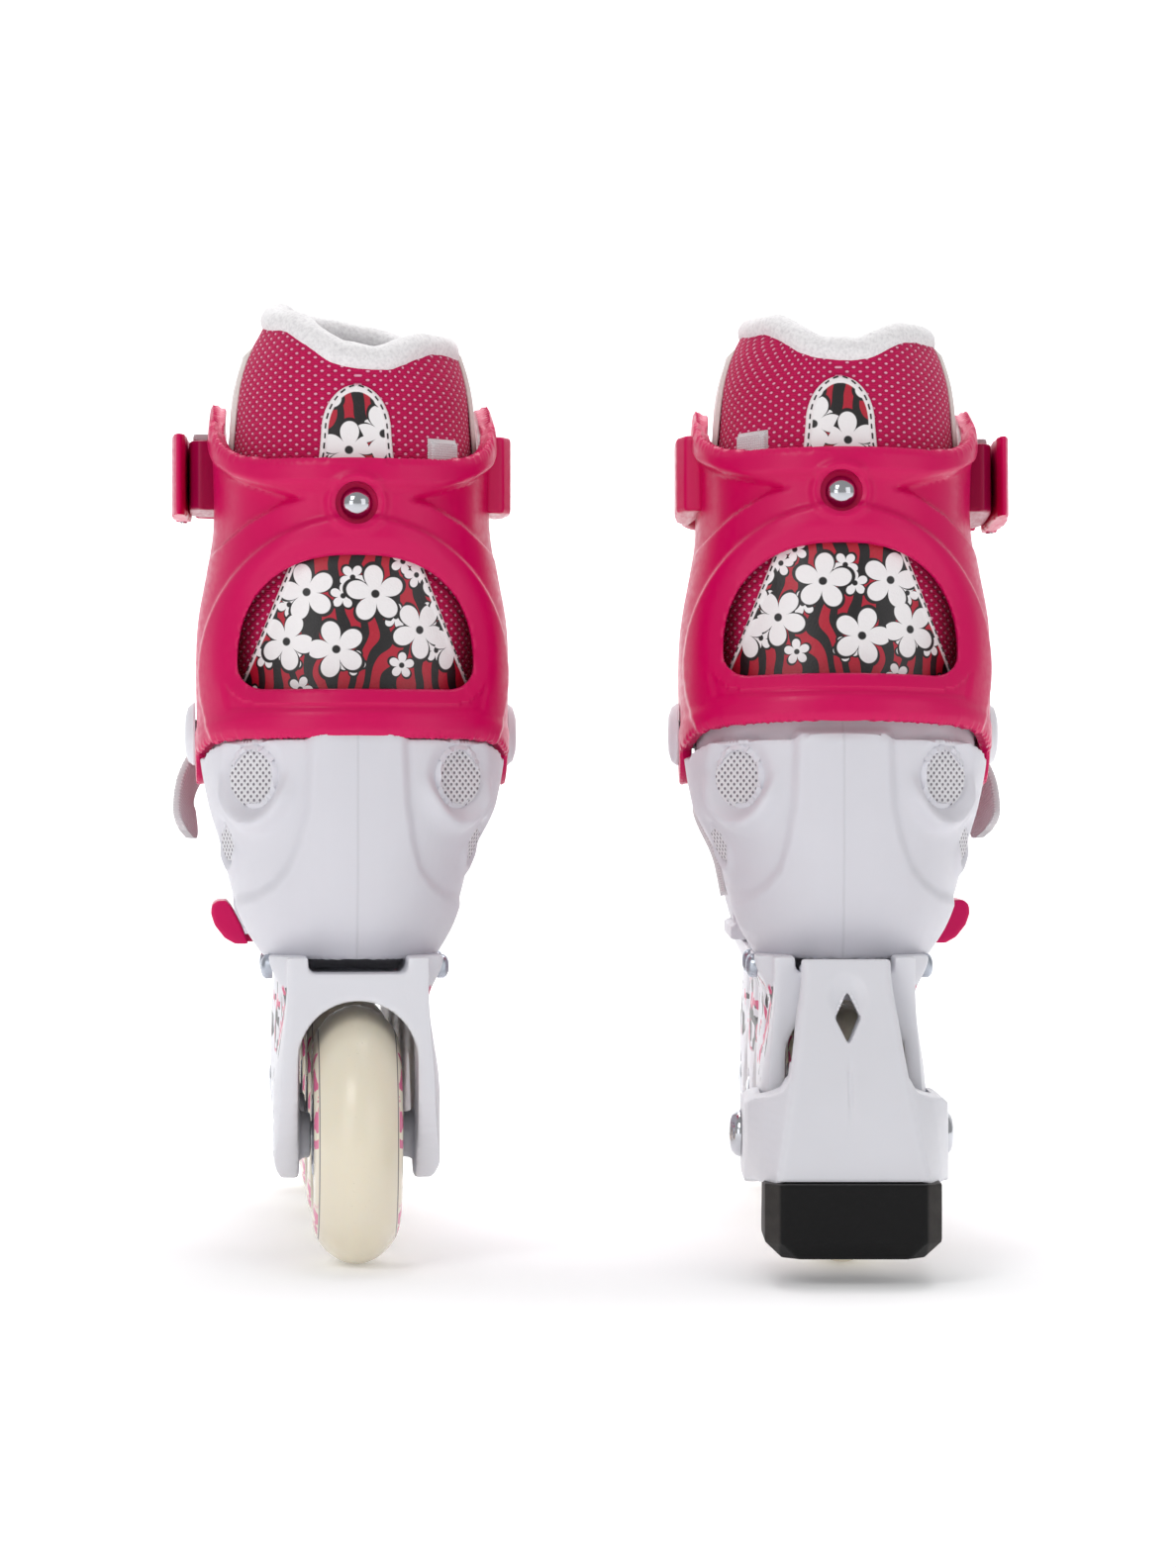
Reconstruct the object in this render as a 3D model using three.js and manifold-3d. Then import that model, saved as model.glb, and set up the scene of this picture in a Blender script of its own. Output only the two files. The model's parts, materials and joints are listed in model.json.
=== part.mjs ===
// A pair of children's inline skates with a length-adjusting boot: a moulded frame with four wheels, a heel shell
// with a sliding toe cap, a hinged cuff with a rear window and a buckled strap, a padded liner, and a heel brake
// on the right skate. Millimetres, +Z up, toes towards +Y, standing on z = 0.
// Each skate is built once in its own frame (origin on the ground under the rear axle, +X to the outer side of the
// foot) and placed twice, mirrored for the left foot.
import * as THREE from "three";
import { mergeVertices } from "three/addons/utils/BufferGeometryUtils.js";
import Module from "manifold-3d";

const wasm = await Module();
wasm.setup();

// ---------------------------------------------------------------- driving dimensions

const CLEAR = 0.3; // running and assembly gap between neighbouring pieces
const FOLD = Math.PI / 180;

const pair = { spacing: 132, toeOut: 2.5 }; // between the skates at the rear axle; each skate turned out, degrees
const cuffLean = { left: 0, right: 4.5 }; // how far each cuff stands forward of its stop, degrees

const wheel = { radius: 35, width: 24, count: 4, pitch: 76, coreRadius: 21, facets: 20 };
const bearing = { outerRadius: 11, boreRadius: 4, width: 7, spacerRadius: 6 };
const axle = { headRadius: 6.5, headThickness: 3.2 };
const frame = { top: 83.7, deck: 4.7, innerHalf: 15.5, wall: 3.4, bossRadius: 12.5, bossOut: 3.4, rearWall: -20 };
frame.outerHalf = frame.innerHalf + frame.wall;
frame.bossHalf = frame.outerHalf + frame.bossOut;

const sole = { bottom: 84, thickness: 4.6 }; // the shell's floor, which lies on the frame's deck
const shell = { wall: 2.8, collarWall: 2.4, frontEnd: 122, trayHalf: 31, trayEnd: 203 };
const pivot = { y: 45, z: 144, capRadius: 8, capThickness: 2.2, shaftRadius: 4, lobeRadius: 14 };
const cuff = { wall: 3, rimRear: 219.5, rimEar: 236, bandLow: 199, bandHigh: 226, earFront: 74 };
const cuffWindow = { low: 159, high: 195.5, half: 32, corner: 5 };
const rivet = { z: 210, headRadius: 4, shaftRadius: 2, recessRadius: 5.8 };
const liner = { wall: 6.2, floor: 5, split: 149.5, splitGap: 1, notchSlope: 17, topRear: 253, topSide: 262 };
liner.fitWall = 2.8; // the shell wall that the liner's sections are drawn for; a thicker wall draws them in
const toeCap = { rearEnd: 104, wall: 2.8, throatEnd: 158 };
const button = { y: 62, z: 91, half: 13, height: 12.4, outer: 39.5, lowInner: 28.7, highInner: 34.5 };
Object.assign(button, { travel: 3, stemHalf: 4, stemInner: 19 });
const strap = { width: 25, thickness: 2.4 };
const ladder = { width: 19, thickness: 2.4, z: 213 };
const buckle = { hingeX: 47, hingeY: 71, low: 201.5, high: 224.5, tailY: 34, thickness: 3, baseOut: 44.2 };
const brake = { slotHalf: 13, slotLow: 77.8, slotHigh: 81.6, slotDepth: 14, earInner: 22.8, earThickness: 4.4 };
Object.assign(brake, { padHalf: 23, padLow: 7, padHigh: 26.6, padRear: -64, armLow: 27, lowHalf: 20 });
brake.slotPlay = 1.1; // between each side of the arm's hook and the end of the frame's slot
brake.topHalf = brake.slotHalf - brake.slotPlay;

const WHEEL_Z = wheel.radius;
const AXLE_YS = Array.from({ length: wheel.count }, (_, i) => i * wheel.pitch);

// Half-widths and ends of the boot's horizontal sections. heel is the half-width at HEEL_Y, waist at WAIST_Y and
// ball at ballY; rear and toe are where the section starts and ends along Y.
const HEEL_Y = 32;
const WAIST_Y = 84;

const SHELL_SECTIONS = [
  { z: 84, rear: -6, heel: 26.5, waist: 25 },
  { z: 91, rear: -10, heel: 31, waist: 28.8 },
  { z: 101, rear: -13, heel: 34.8, waist: 32 },
  { z: 115, rear: -14.4, heel: 37.8, waist: 34 },
  { z: 147, rear: -13.5, heel: 43.6, waist: 36 },
].map((s) => ({ ...s, ball: s.waist + 1.8, ballY: 126, toe: 150 }));

const COLLAR_SECTIONS = [
  { z: 120, rear: -12.6, heel: 38.2 },
  { z: 141, rear: -9.4, heel: 39.4 },
  { z: 158, rear: -8.2, heel: 39.4 },
].map((s) => ({ ...s, waist: s.heel, ball: s.heel, ballY: 60, toe: 100 }));

const CUFF_SECTIONS = [
  { z: 128, rear: -13.6, heel: 43.4 },
  { z: 160, rear: -13, heel: 43.4 },
  { z: 175, rear: -10.5, heel: 42.8 },
  { z: 188, rear: -8.6, heel: 40.5 },
  { z: 198, rear: -7.6, heel: 38.8 },
  { z: 225, rear: -7.6, heel: 38.6 },
  { z: 239, rear: -8.4, heel: 37.4 },
].map((s) => ({ ...s, waist: s.heel, ball: s.heel, ballY: 60, toe: 104 }));

const LINER_CUFF_SECTIONS = [
  { z: 146, rear: -5.2, heel: 36.2, toe: 84 },
  { z: 160, rear: -5.4, heel: 36.4, toe: 83 },
  { z: 176, rear: -5, heel: 36.2, toe: 81 },
  { z: 200, rear: -3.6, heel: 34.4, toe: 78.5 },
  { z: 226, rear: -3.2, heel: 33.2, toe: 78 },
  { z: 248, rear: -2.8, heel: 30.8, toe: 77.5 },
  { z: 264, rear: -0.8, heel: 27.5, toe: 76 },
].map((s) => ({ ...s, waist: s.heel - 3, ball: s.heel - 5, ballY: 52 }));

const LINER_BOOT_SECTIONS = [
  { z: 89.4, rear: -2.5, heel: 23.5, waist: 22.5, ball: 27, ballY: 150, toe: 200 },
  { z: 96, rear: -6.5, heel: 28.8, waist: 26.6, ball: 30.8, ballY: 150, toe: 208 },
  { z: 109, rear: -9.4, heel: 32.8, waist: 29.8, ball: 31, ballY: 143, toe: 206 },
  { z: 119, rear: -9.2, heel: 34.2, waist: 30.6, ball: 27.5, ballY: 128, toe: 188 },
  { z: 127, rear: -8, heel: 35, waist: 30.5, ball: 24, ballY: 110, toe: 142 },
  { z: 138, rear: -6.6, heel: 35.8, waist: 29, ball: 27, ballY: 90, toe: 114 },
  { z: 150, rear: -5.8, heel: 36.2, waist: 28, ball: 27, ballY: 86, toe: 96 },
];

const TOE_CAP_SECTIONS = [
  { z: 84.4, waist: 36.4, ball: 35, ballY: 166, toe: 221 },
  { z: 92, waist: 38.2, ball: 39, ballY: 166, toe: 229 },
  { z: 106, waist: 38.6, ball: 39.6, ballY: 162, toe: 232 },
  { z: 118, waist: 37.8, ball: 35, ballY: 154, toe: 224 },
  { z: 125, waist: 35, ball: 28, ballY: 148, toe: 207 },
  { z: 128, waist: 31, ball: 22, ballY: 144, toe: 192 },
].map((s) => ({ ...s, rear: 60, heel: s.waist }));

// ---------------------------------------------------------------- solids

// The signed volume of a triangle soup, which tells whether its faces point out.
function signedVolume(positions, triangles) {
  let sum = 0;
  const corner = (i) => new THREE.Vector3().fromArray(positions, i * 3);
  for (let i = 0; i < triangles.length; i += 3)
    sum += corner(triangles[i]).dot(corner(triangles[i + 1]).cross(corner(triangles[i + 2])));
  return sum;
}

// A closed three.js geometry as a manifold-3d solid, turned so that its faces point out.
function solidOf(geometry) {
  const bare = new THREE.BufferGeometry().setAttribute("position", geometry.getAttribute("position"));
  if (geometry.index) bare.setIndex(geometry.index);
  const merged = mergeVertices(bare, 1e-4);
  const vertProperties = new Float32Array(merged.attributes.position.array);
  const triVerts = new Uint32Array(merged.index.array);
  if (signedVolume(vertProperties, triVerts) < 0)
    for (let i = 0; i < triVerts.length; i += 3)
      [triVerts[i + 1], triVerts[i + 2]] = [triVerts[i + 2], triVerts[i + 1]];
  return new wasm.Manifold(new wasm.Mesh({ numProp: 3, vertProperties, triVerts }));
}

// A manifold-3d solid as a three.js geometry.
function geometryOf(solid) {
  const mesh = solid.getMesh();
  const geometry = new THREE.BufferGeometry();
  geometry.setAttribute("position", new THREE.BufferAttribute(new Float32Array(mesh.vertProperties), 3));
  geometry.setIndex(new THREE.BufferAttribute(new Uint32Array(mesh.triVerts), 1));
  return geometry;
}

// A closed solid through rings of the same number of points, with both ends filled.
function loft(rings) {
  const size = rings[0].length;
  const points = rings.flat().flatMap((p) => [p.x, p.y, p.z]);
  const triangles = [];
  for (let r = 0; r + 1 < rings.length; r++)
    for (let i = 0; i < size; i++) {
      const [a, b] = [r * size + i, r * size + ((i + 1) % size)];
      triangles.push(a, b, b + size, a, b + size, a + size);
    }
  for (const [first, turn] of [
    [0, true],
    [(rings.length - 1) * size, false],
  ]) {
    const centre = points.length / 3;
    const mid = rings[first / size].reduce((m, p) => m.add(p), new THREE.Vector3()).divideScalar(size);
    points.push(mid.x, mid.y, mid.z);
    for (let i = 0; i < size; i++) {
      const [a, b] = [first + i, first + ((i + 1) % size)];
      triangles.push(centre, turn ? b : a, turn ? a : b);
    }
  }
  const geometry = new THREE.BufferGeometry();
  geometry.setAttribute("position", new THREE.Float32BufferAttribute(points, 3));
  geometry.setIndex(triangles);
  return solidOf(geometry);
}

// A solid of revolution about the X axis. Each profile point is [radius, x]; the profile closes on itself.
function turned(profile, facets) {
  const points = [...profile, profile[0]].map(([r, x]) => new THREE.Vector2(r, x));
  const geometry = new THREE.LatheGeometry(points, facets, Math.PI / facets);
  geometry.rotateZ(-Math.PI / 2);
  return solidOf(geometry);
}

// A flat outline of [a, b] points extruded symmetrically along one axis: "x" takes [y, z], "y" takes [x, z] and
// "z" takes [x, y] points.
function slab(outline, axis, from, to) {
  const shape = new THREE.Shape(outline.map(([a, b]) => new THREE.Vector2(a, b)));
  const geometry = new THREE.ExtrudeGeometry(shape, { depth: to - from, bevelEnabled: false, curveSegments: 1 });
  geometry.translate(0, 0, from);
  const turn = {
    x: new THREE.Matrix4().set(0, 0, 1, 0, 1, 0, 0, 0, 0, 1, 0, 0, 0, 0, 0, 1),
    y: new THREE.Matrix4().set(1, 0, 0, 0, 0, 0, 1, 0, 0, 1, 0, 0, 0, 0, 0, 1),
    z: new THREE.Matrix4(),
  };
  geometry.applyMatrix4(turn[axis]);
  return solidOf(geometry);
}

// A box between two corners.
function block([x0, y0, z0], [x1, y1, z1]) {
  const geometry = new THREE.BoxGeometry(x1 - x0, y1 - y0, z1 - z0);
  geometry.translate((x0 + x1) / 2, (y0 + y1) / 2, (z0 + z1) / 2);
  return solidOf(geometry);
}

// A cylinder from one point to another.
function rod(from, to, radius, facets = 12) {
  const [a, b] = [new THREE.Vector3(...from), new THREE.Vector3(...to)];
  const along = b.clone().sub(a);
  const geometry = new THREE.CylinderGeometry(radius, radius, along.length(), facets);
  const turn = new THREE.Quaternion().setFromUnitVectors(new THREE.Vector3(0, 1, 0), along.clone().normalize());
  geometry.applyQuaternion(turn);
  geometry.translate((a.x + b.x) / 2, (a.y + b.y) / 2, (a.z + b.z) / 2);
  return solidOf(geometry);
}

const arc = (centreA, centreB, radius, fromDeg, toDeg, steps) =>
  Array.from({ length: steps + 1 }, (_, i) => {
    const t = (fromDeg + ((toDeg - fromDeg) * i) / steps) * FOLD;
    return [centreA + radius * Math.cos(t), centreB + radius * Math.sin(t)];
  });

// A flat band of constant width swept along a smooth route; widths lists the direction of its width at its start,
// its middle and its end.
function band(route, widths, width, thickness, steps) {
  const curve = new THREE.CatmullRomCurve3(route.map((p) => new THREE.Vector3(...p)));
  const [first, middle, last] = widths.map((d) => new THREE.Vector3(...d).normalize());
  const rings = [];
  for (let i = 0; i <= steps; i++) {
    const t = i / steps;
    const tangent = curve.getTangentAt(t);
    const wide = t < 0.5 ? first.clone().lerp(middle, 2 * t) : middle.clone().lerp(last, 2 * t - 1);
    wide.addScaledVector(tangent, -wide.dot(tangent)).normalize();
    const thick = tangent.clone().cross(wide);
    const at = curve.getPointAt(t);
    const across = (w) => at.clone().addScaledVector(wide, w * (width / 2));
    const corner = (w, h) => across(w).addScaledVector(thick, h * (thickness / 2));
    rings.push([corner(-1, -1), corner(1, -1), corner(1, 1), corner(-1, 1)]);
  }
  return loft(rings);
}

const power = (value, exponent) => Math.sign(value) * Math.abs(value) ** exponent;
const smooth = (t) => t * t * (3 - 2 * t);

// One horizontal section of the boot, moved in by inset all round. The heel and the toe are rounded-square
// quarters, and the sides run smoothly through the heel, waist and ball widths.
function section({ z, rear, heel, waist, ball, ballY, toe }, inset, detail) {
  const half = [];
  const [back, front] = [rear + inset, toe - inset];
  for (let i = 0; i <= detail; i++) {
    const a = ((i / detail) * Math.PI) / 2;
    half.push([(heel - inset) * power(Math.sin(a), 0.92), HEEL_Y - (HEEL_Y - back) * power(Math.cos(a), 0.92)]);
  }
  const atWaist = ballY > WAIST_Y ? [[WAIST_Y, waist]] : [];
  const stations = [[HEEL_Y, heel], ...atWaist, [ballY, ball]];
  for (let s = 0; s + 1 < stations.length; s++)
    for (let i = 1; i <= 2; i++) {
      const [y0, w0] = stations[s];
      const [y1, w1] = stations[s + 1];
      half.push([w0 + (w1 - w0) * smooth(i / 2) - inset, y0 + ((y1 - y0) * i) / 2]);
    }
  for (let i = 1; i <= detail; i++) {
    const a = ((i / detail) * Math.PI) / 2;
    half.push([(ball - inset) * power(Math.cos(a), 0.86), ballY + (front - ballY) * power(Math.sin(a), 0.86)]);
  }
  const right = half.map(([x, y]) => new THREE.Vector3(x, y, z));
  const left = half.slice(1, -1).reverse().map(([x, y]) => new THREE.Vector3(-x, y, z));
  return [...right, ...left];
}

// A lofted boot skin: the sections' outside, less the same sections moved in by the wall.
const outside = (sections, detail = 4, inset = 0) => loft(sections.map((s) => section(s, inset, detail)));
const inside = (sections, wall, lift = { low: 1, high: 1 }, detail = 4) =>
  loft(
    sections.map((s, i) => {
      const z = s.z + (i === 0 ? -lift.low : i === sections.length - 1 ? lift.high : 0);
      return section({ ...s, z }, wall, detail);
    }),
  );

// ---------------------------------------------------------------- wheels

function tyre() {
  const r = wheel.radius / Math.cos(Math.PI / wheel.facets); // the flats, not the corners, roll at the wheel's radius
  const w = wheel.width / 2;
  const seat = wheel.coreRadius + CLEAR;
  const half = [[seat, w - 1.5], [r - 7, w], [r, w - 8.5]];
  const other = half.slice().reverse().map(([radius, x]) => [radius, -x]);
  return turned([...half, ...other], wheel.facets);
}

function hub() {
  const w = wheel.width / 2 - 0.1;
  const bore = bearing.outerRadius + CLEAR;
  const half = [[bore, w], [bore + 3.4, w], [wheel.coreRadius, w - 3]];
  const other = half.slice().reverse().map(([radius, x]) => [radius, -x]);
  return turned([...half, ...other], 16);
}

// Two sealed bearings and the spacer tube between them.
function bearingSet() {
  const w = wheel.width / 2;
  const inner = w - bearing.width;
  const race = [[bearing.boreRadius, w], [bearing.outerRadius, w], [bearing.outerRadius, inner]];
  const half = [...race, [bearing.spacerRadius, inner]];
  const other = half.slice().reverse().map(([radius, x]) => [radius, -x]);
  return turned([...half, ...other], 12);
}

// A bolt with its nut: grip is half the width that it holds.
function axleBolt(grip) {
  const shaft = bearing.boreRadius - CLEAR;
  const under = grip + CLEAR;
  const out = under + axle.headThickness;
  const half = [[0, out], [axle.headRadius - 1.6, out], [axle.headRadius, under], [shaft, under]];
  const other = half.slice(1).reverse().map(([radius, x]) => [radius, -x]);
  const points = [...half, ...other, [0, -out]].map(([r, x]) => new THREE.Vector2(r, x));
  const geometry = new THREE.LatheGeometry(points, 10);
  geometry.rotateZ(-Math.PI / 2);
  return solidOf(geometry);
}

// ---------------------------------------------------------------- frame

// The side plate's outline in [y, z]: a foot at each axle and an arch between neighbouring wheels.
function plateOutline() {
  const [foot, arch] = [WHEEL_Z - 11.5, 54];
  const last = AXLE_YS[AXLE_YS.length - 1];
  const low = [];
  for (const y of AXLE_YS) {
    low.push([y - 9, foot + 1.5], [y - 4, foot], [y + 4, foot], [y + 9, foot + 1.5]);
    const next = y + wheel.pitch;
    if (y < last) low.push([y + 22, arch - 8], [y + 31, arch], [next - 31, arch], [next - 22, arch - 8]);
  }
  low[0] = [frame.rearWall + 7, foot + 5];
  const front = last + 14;
  const nose = [[front, 44], [front - 2, 66], [front - 12, frame.top]];
  return [[frame.rearWall, frame.top], [frame.rearWall, 50], ...low, ...nose];
}

function skateFrame() {
  const plates = slab(plateOutline(), "x", -frame.outerHalf, frame.outerHalf);
  const front = AXLE_YS[AXLE_YS.length - 1];
  const channel = block(
    [-frame.innerHalf, frame.rearWall + 5, 0],
    [frame.innerHalf, front + 40, frame.top - frame.deck],
  );
  const arch = slab(
    [[-16, 0], [16, 0], ...arc(0, 56, 16, 0, 180, 8)],
    "y",
    frame.rearWall - 1,
    frame.rearWall + 6,
  );
  const slot = block(
    [-brake.slotHalf, frame.rearWall - 1, brake.slotLow],
    [brake.slotHalf, frame.rearWall + brake.slotDepth, brake.slotHigh],
  );
  let made = plates.subtract(channel).subtract(arch).subtract(slot);
  for (const y of AXLE_YS)
    for (const side of [-1, 1]) {
      const at = (x) => [side * x, y, WHEEL_Z];
      made = made.add(rod(at(frame.outerHalf - 1), at(frame.bossHalf), frame.bossRadius, 10));
      made = made.add(rod(at(wheel.width / 2 + CLEAR), at(frame.innerHalf + 1), bearing.boreRadius + 2.2, 6));
    }
  for (const y of AXLE_YS)
    made = made.subtract(rod([-40, y, WHEEL_Z], [40, y, WHEEL_Z], bearing.boreRadius, 8));
  return made;
}

// ---------------------------------------------------------------- boot

// The shell's side outline in [y, z], under the cuff's lower edge.
function shellRim() {
  const pocket = arc(pivot.y, pivot.z, pivot.lobeRadius + 1.2, 205, 320, 5);
  const instep = [[68, 122], [88, 113], [shell.frontEnd, 110], [shell.frontEnd, 80]];
  return [[-30, 80], [-30, 145.5], [4, 144.4], [20, 139], ...pocket, ...instep];
}

// The recessed collar's side outline in [y, z], behind the cuff.
function collarRim() {
  const top = [[-30, 154.5], [20, 155], [34, 158], [58, 158]];
  return [[-30, 110], ...top, [60, 140], [60, 118], [40, 110]];
}

// The rear and side vents: [x, y, z, radius] of each, with the direction that it looks.
const VENTS = [
  { at: [28.5, -2, 132], look: [0.62, -0.78, 0], radius: 6 },
  { at: [36.5, 16, 114], look: [0.92, -0.38, 0], radius: 3.6 },
];

// The hole that a pivot's shaft turns in, through the cuff or the collar on one side.
function pivotHole(side) {
  const at = (x) => [side * x, pivot.y, pivot.z];
  return rod(at(30), at(50), pivot.shaftRadius + CLEAR, 10);
}

function heelShell() {
  const wallTop = SHELL_SECTIONS[SHELL_SECTIONS.length - 1].z;
  const hollow = inside(SHELL_SECTIONS, shell.wall, { low: -sole.thickness, high: 3 });
  const wall = outside(SHELL_SECTIONS).subtract(hollow).intersect(slab(shellRim(), "x", -60, 60));
  const collar = outside(COLLAR_SECTIONS)
    .subtract(inside(COLLAR_SECTIONS, shell.collarWall))
    .intersect(slab(collarRim(), "x", -60, 60))
    .subtract(block([-60, pivot.y + 15, 0], [60, 200, wallTop + 50]));
  const half = shell.trayHalf;
  const toe = arc(0, shell.trayEnd - half, half, 0, 180, 8);
  const floorTop = sole.bottom + sole.thickness - 0.4;
  const tray = slab([[-half, 100], [half, 100], ...toe], "z", sole.bottom, floorTop);
  const bridge = slab([[-25, 95], [25, 95], [half, 124], [-half, 124]], "z", sole.bottom, floorTop);
  let made = wall.add(collar).add(bridge).add(tray);
  for (const { at, look, radius } of VENTS)
    for (const side of [-1, 1]) {
      const from = [side * (at[0] - 9 * look[0]), at[1] - 9 * look[1], at[2]];
      const to = [side * (at[0] + 12 * look[0]), at[1] + 12 * look[1], at[2]];
      made = made.subtract(rod(from, to, radius, 8));
    }
  for (const side of [-1, 1]) made = made.subtract(pivotHole(side));
  const stem = block(
    [button.stemInner - button.travel - 1, button.y - button.stemHalf - CLEAR, sole.bottom + 0.9],
    [60, button.y + button.stemHalf + CLEAR, sole.bottom + sole.thickness - 0.9],
  );
  const low = button.z - button.height / 2;
  const notch = block(
    [button.lowInner - button.travel - 1, button.y - button.half - CLEAR, low - 8],
    [60, button.y + button.half + CLEAR, low + button.height + CLEAR],
  );
  return made.subtract(stem).subtract(notch);
}

function slidingToeCap() {
  const hollow = inside(TOE_CAP_SECTIONS, toeCap.wall, { low: 2, high: -toeCap.wall });
  const cap = outside(TOE_CAP_SECTIONS).subtract(hollow);
  const back = [[toeCap.rearEnd, 80], [toeCap.rearEnd, 112], [118, 116]];
  const keep = [...back, [toeCap.throatEnd, 131], [250, 131], [250, 80]];
  const throat = slab([[-19, 90], [19, 90], ...arc(0, toeCap.throatEnd - 12, 19, 0, 180, 8)], "z", 112, 140);
  return cap.intersect(slab(keep, "x", -60, 60)).subtract(throat);
}

// The push button that frees the toe cap: a rounded pad outside the shell with a flat stem in the floor's slot.
function sizeButton() {
  const { y, z, half, height, outer, lowInner, highInner, stemHalf, stemInner } = button;
  const [low, high] = [z - height / 2, z + height / 2];
  // One end-to-end section of the pad: its two lower and its two upper corners.
  const face = (lowX, highX, share, lift) => [
    new THREE.Vector3(lowX, y - half * share, low + lift * height),
    new THREE.Vector3(lowX, y + half * share, low + lift * height),
    new THREE.Vector3(highX, y + half * share, high),
    new THREE.Vector3(highX, y - half * share, high),
  ];
  const pad = loft([
    face(lowInner, highInner, 1, 0),
    face(outer - 4, outer - 3, 1, 0.2),
    face(outer - 1.2, outer - 1, 0.88, 0.5),
    face(outer, outer, 0.62, 0.72),
  ]);
  const stem = block(
    [stemInner, y - stemHalf, sole.bottom + 1.2],
    [lowInner + 3, y + stemHalf, sole.bottom + sole.thickness - 1.2],
  );
  return pad.add(stem);
}

// The cuff's side outline in [y, z].
function cuffOutline() {
  const lobe = arc(pivot.y, pivot.z, pivot.lobeRadius, 205, 350, 6);
  const front = cuff.earFront;
  const ear = [[60, 158], [58, 178], [61, cuff.bandLow - 3], [front, cuff.bandLow], [front, cuff.bandHigh]];
  const rim = [[64, 234], [50, cuff.rimEar], [36, 232], [16, 224], [0, cuff.rimRear + 0.6], [-30, cuff.rimRear]];
  return [[-30, 147], [4, 145.8], [21, 140.4], ...lobe, ...ear, ...rim];
}

// The rear window's outline in [x, z]: a flat sill with rounded corners under an arch.
function windowOutline() {
  const { low, high, half, corner } = cuffWindow;
  const archTop = Array.from({ length: 13 }, (_, i) => {
    const t = (i / 12) * Math.PI;
    return [half * power(Math.cos(t), 0.8), low + corner + (high - low - corner) * power(Math.sin(t), 0.86)];
  });
  const bevel = (side) => [side * (half - corner * 0.3), low + corner * 0.3];
  return [[-half + corner, low], [half - corner, low], bevel(1), ...archTop, bevel(-1)];
}

function hingedCuff() {
  const ring = outside(CUFF_SECTIONS).subtract(inside(CUFF_SECTIONS, cuff.wall));
  let made = ring.intersect(slab(cuffOutline(), "x", -60, 60));
  made = made.subtract(slab(windowOutline(), "y", -30, 24));
  const base = block([34.6, 43, buckle.low + 2], [buckle.baseOut, cuff.earFront, buckle.high - 2]);
  const cavity = inside(CUFF_SECTIONS, cuff.wall);
  made = made.add(base.subtract(cavity));
  for (const side of [-1, 1]) made = made.subtract(pivotHole(side));
  const rear = CUFF_SECTIONS[5].rear;
  made = made.subtract(rod([0, rear - 3, rivet.z], [0, rear + 1.2, rivet.z], rivet.recessRadius, 16));
  return made.subtract(rod([0, rear - 5, rivet.z], [0, rear + 9, rivet.z], rivet.shaftRadius + CLEAR, 8));
}

// A white cap and its shaft through the cuff and the shell's collar.
function pivotCap() {
  const outer = CUFF_SECTIONS[0].heel + CLEAR;
  const shaftEnd = COLLAR_SECTIONS[1].heel - shell.collarWall + 0.4;
  const cap = rod([outer, pivot.y, pivot.z], [outer + 1, pivot.y, pivot.z], pivot.capRadius, 12);
  const crown = new THREE.CylinderGeometry(pivot.capRadius - 2, pivot.capRadius, pivot.capThickness - 1, 12);
  crown.rotateZ(-Math.PI / 2);
  crown.translate(outer + 1 + (pivot.capThickness - 1) / 2 - 0.01, pivot.y, pivot.z);
  const shaft = rod([shaftEnd, pivot.y, pivot.z], [outer + 0.5, pivot.y, pivot.z], pivot.shaftRadius, 10);
  return cap.add(solidOf(crown)).add(shaft);
}

function cuffRivet() {
  const rear = CUFF_SECTIONS[5].rear;
  const points = [[0, 0], [rivet.headRadius, 0], [rivet.headRadius, 0.6], [rivet.headRadius * 0.75, 2.1], [0, 2.8]];
  const head = new THREE.LatheGeometry(points.map(([r, h]) => new THREE.Vector2(r, h)), 12);
  head.rotateX(Math.PI);
  head.translate(0, rear + 0.9, rivet.z);
  const shaft = rod([0, rear + 0.5, rivet.z], [0, rear + cuff.wall + 0.6, rivet.z], rivet.shaftRadius, 8);
  return solidOf(head).add(shaft);
}

// The padded boot below the ankle, split from the padded cuff at the ankle so that the cuff can lean.
function linerBoot() {
  const inset = shell.wall - liner.fitWall;
  const hollow = inside(LINER_BOOT_SECTIONS, inset + liner.wall, { low: -liner.floor, high: 3 }, 3);
  const body = outside(LINER_BOOT_SECTIONS, 4, inset).subtract(hollow);
  return body.intersect(block([-60, -30, 80], [60, 230, liner.split]));
}

function linerCuff() {
  const body = outside(LINER_CUFF_SECTIONS).subtract(inside(LINER_CUFF_SECTIONS, liner.wall));
  const low = liner.split + liner.splitGap;
  const rise = Math.tan(liner.notchSlope * FOLD) * (120 - pivot.y);
  const saddle = [[120, 259], [70, 259], [48, liner.topSide], [30, 259], [8, liner.topRear + 1], [-30, liner.topRear]];
  const keep = [[-30, low], [pivot.y, low], [120, low + rise], ...saddle];
  return body.intersect(slab(keep, "x", -60, 60));
}

// The strap over the instep, from the inner side of the shell to its free end on the outer side.
function instepStrap() {
  const inner = [[-33.5, 88, 98], [-35.8, 89, 110], [-37, 95, 127], [-29, 105, 144.5]];
  const outer = [[29, 105, 144.5], [40, 95, 136], [46.2, 82, 125], [46.6, 76, 112]];
  const across = [[0, 1, 0], [0, 0.86, -0.5], [0, 1, 0]];
  return band([...inner, [0, 110, 151.5], ...outer], across, strap.width, strap.thickness, 14);
}

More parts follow.
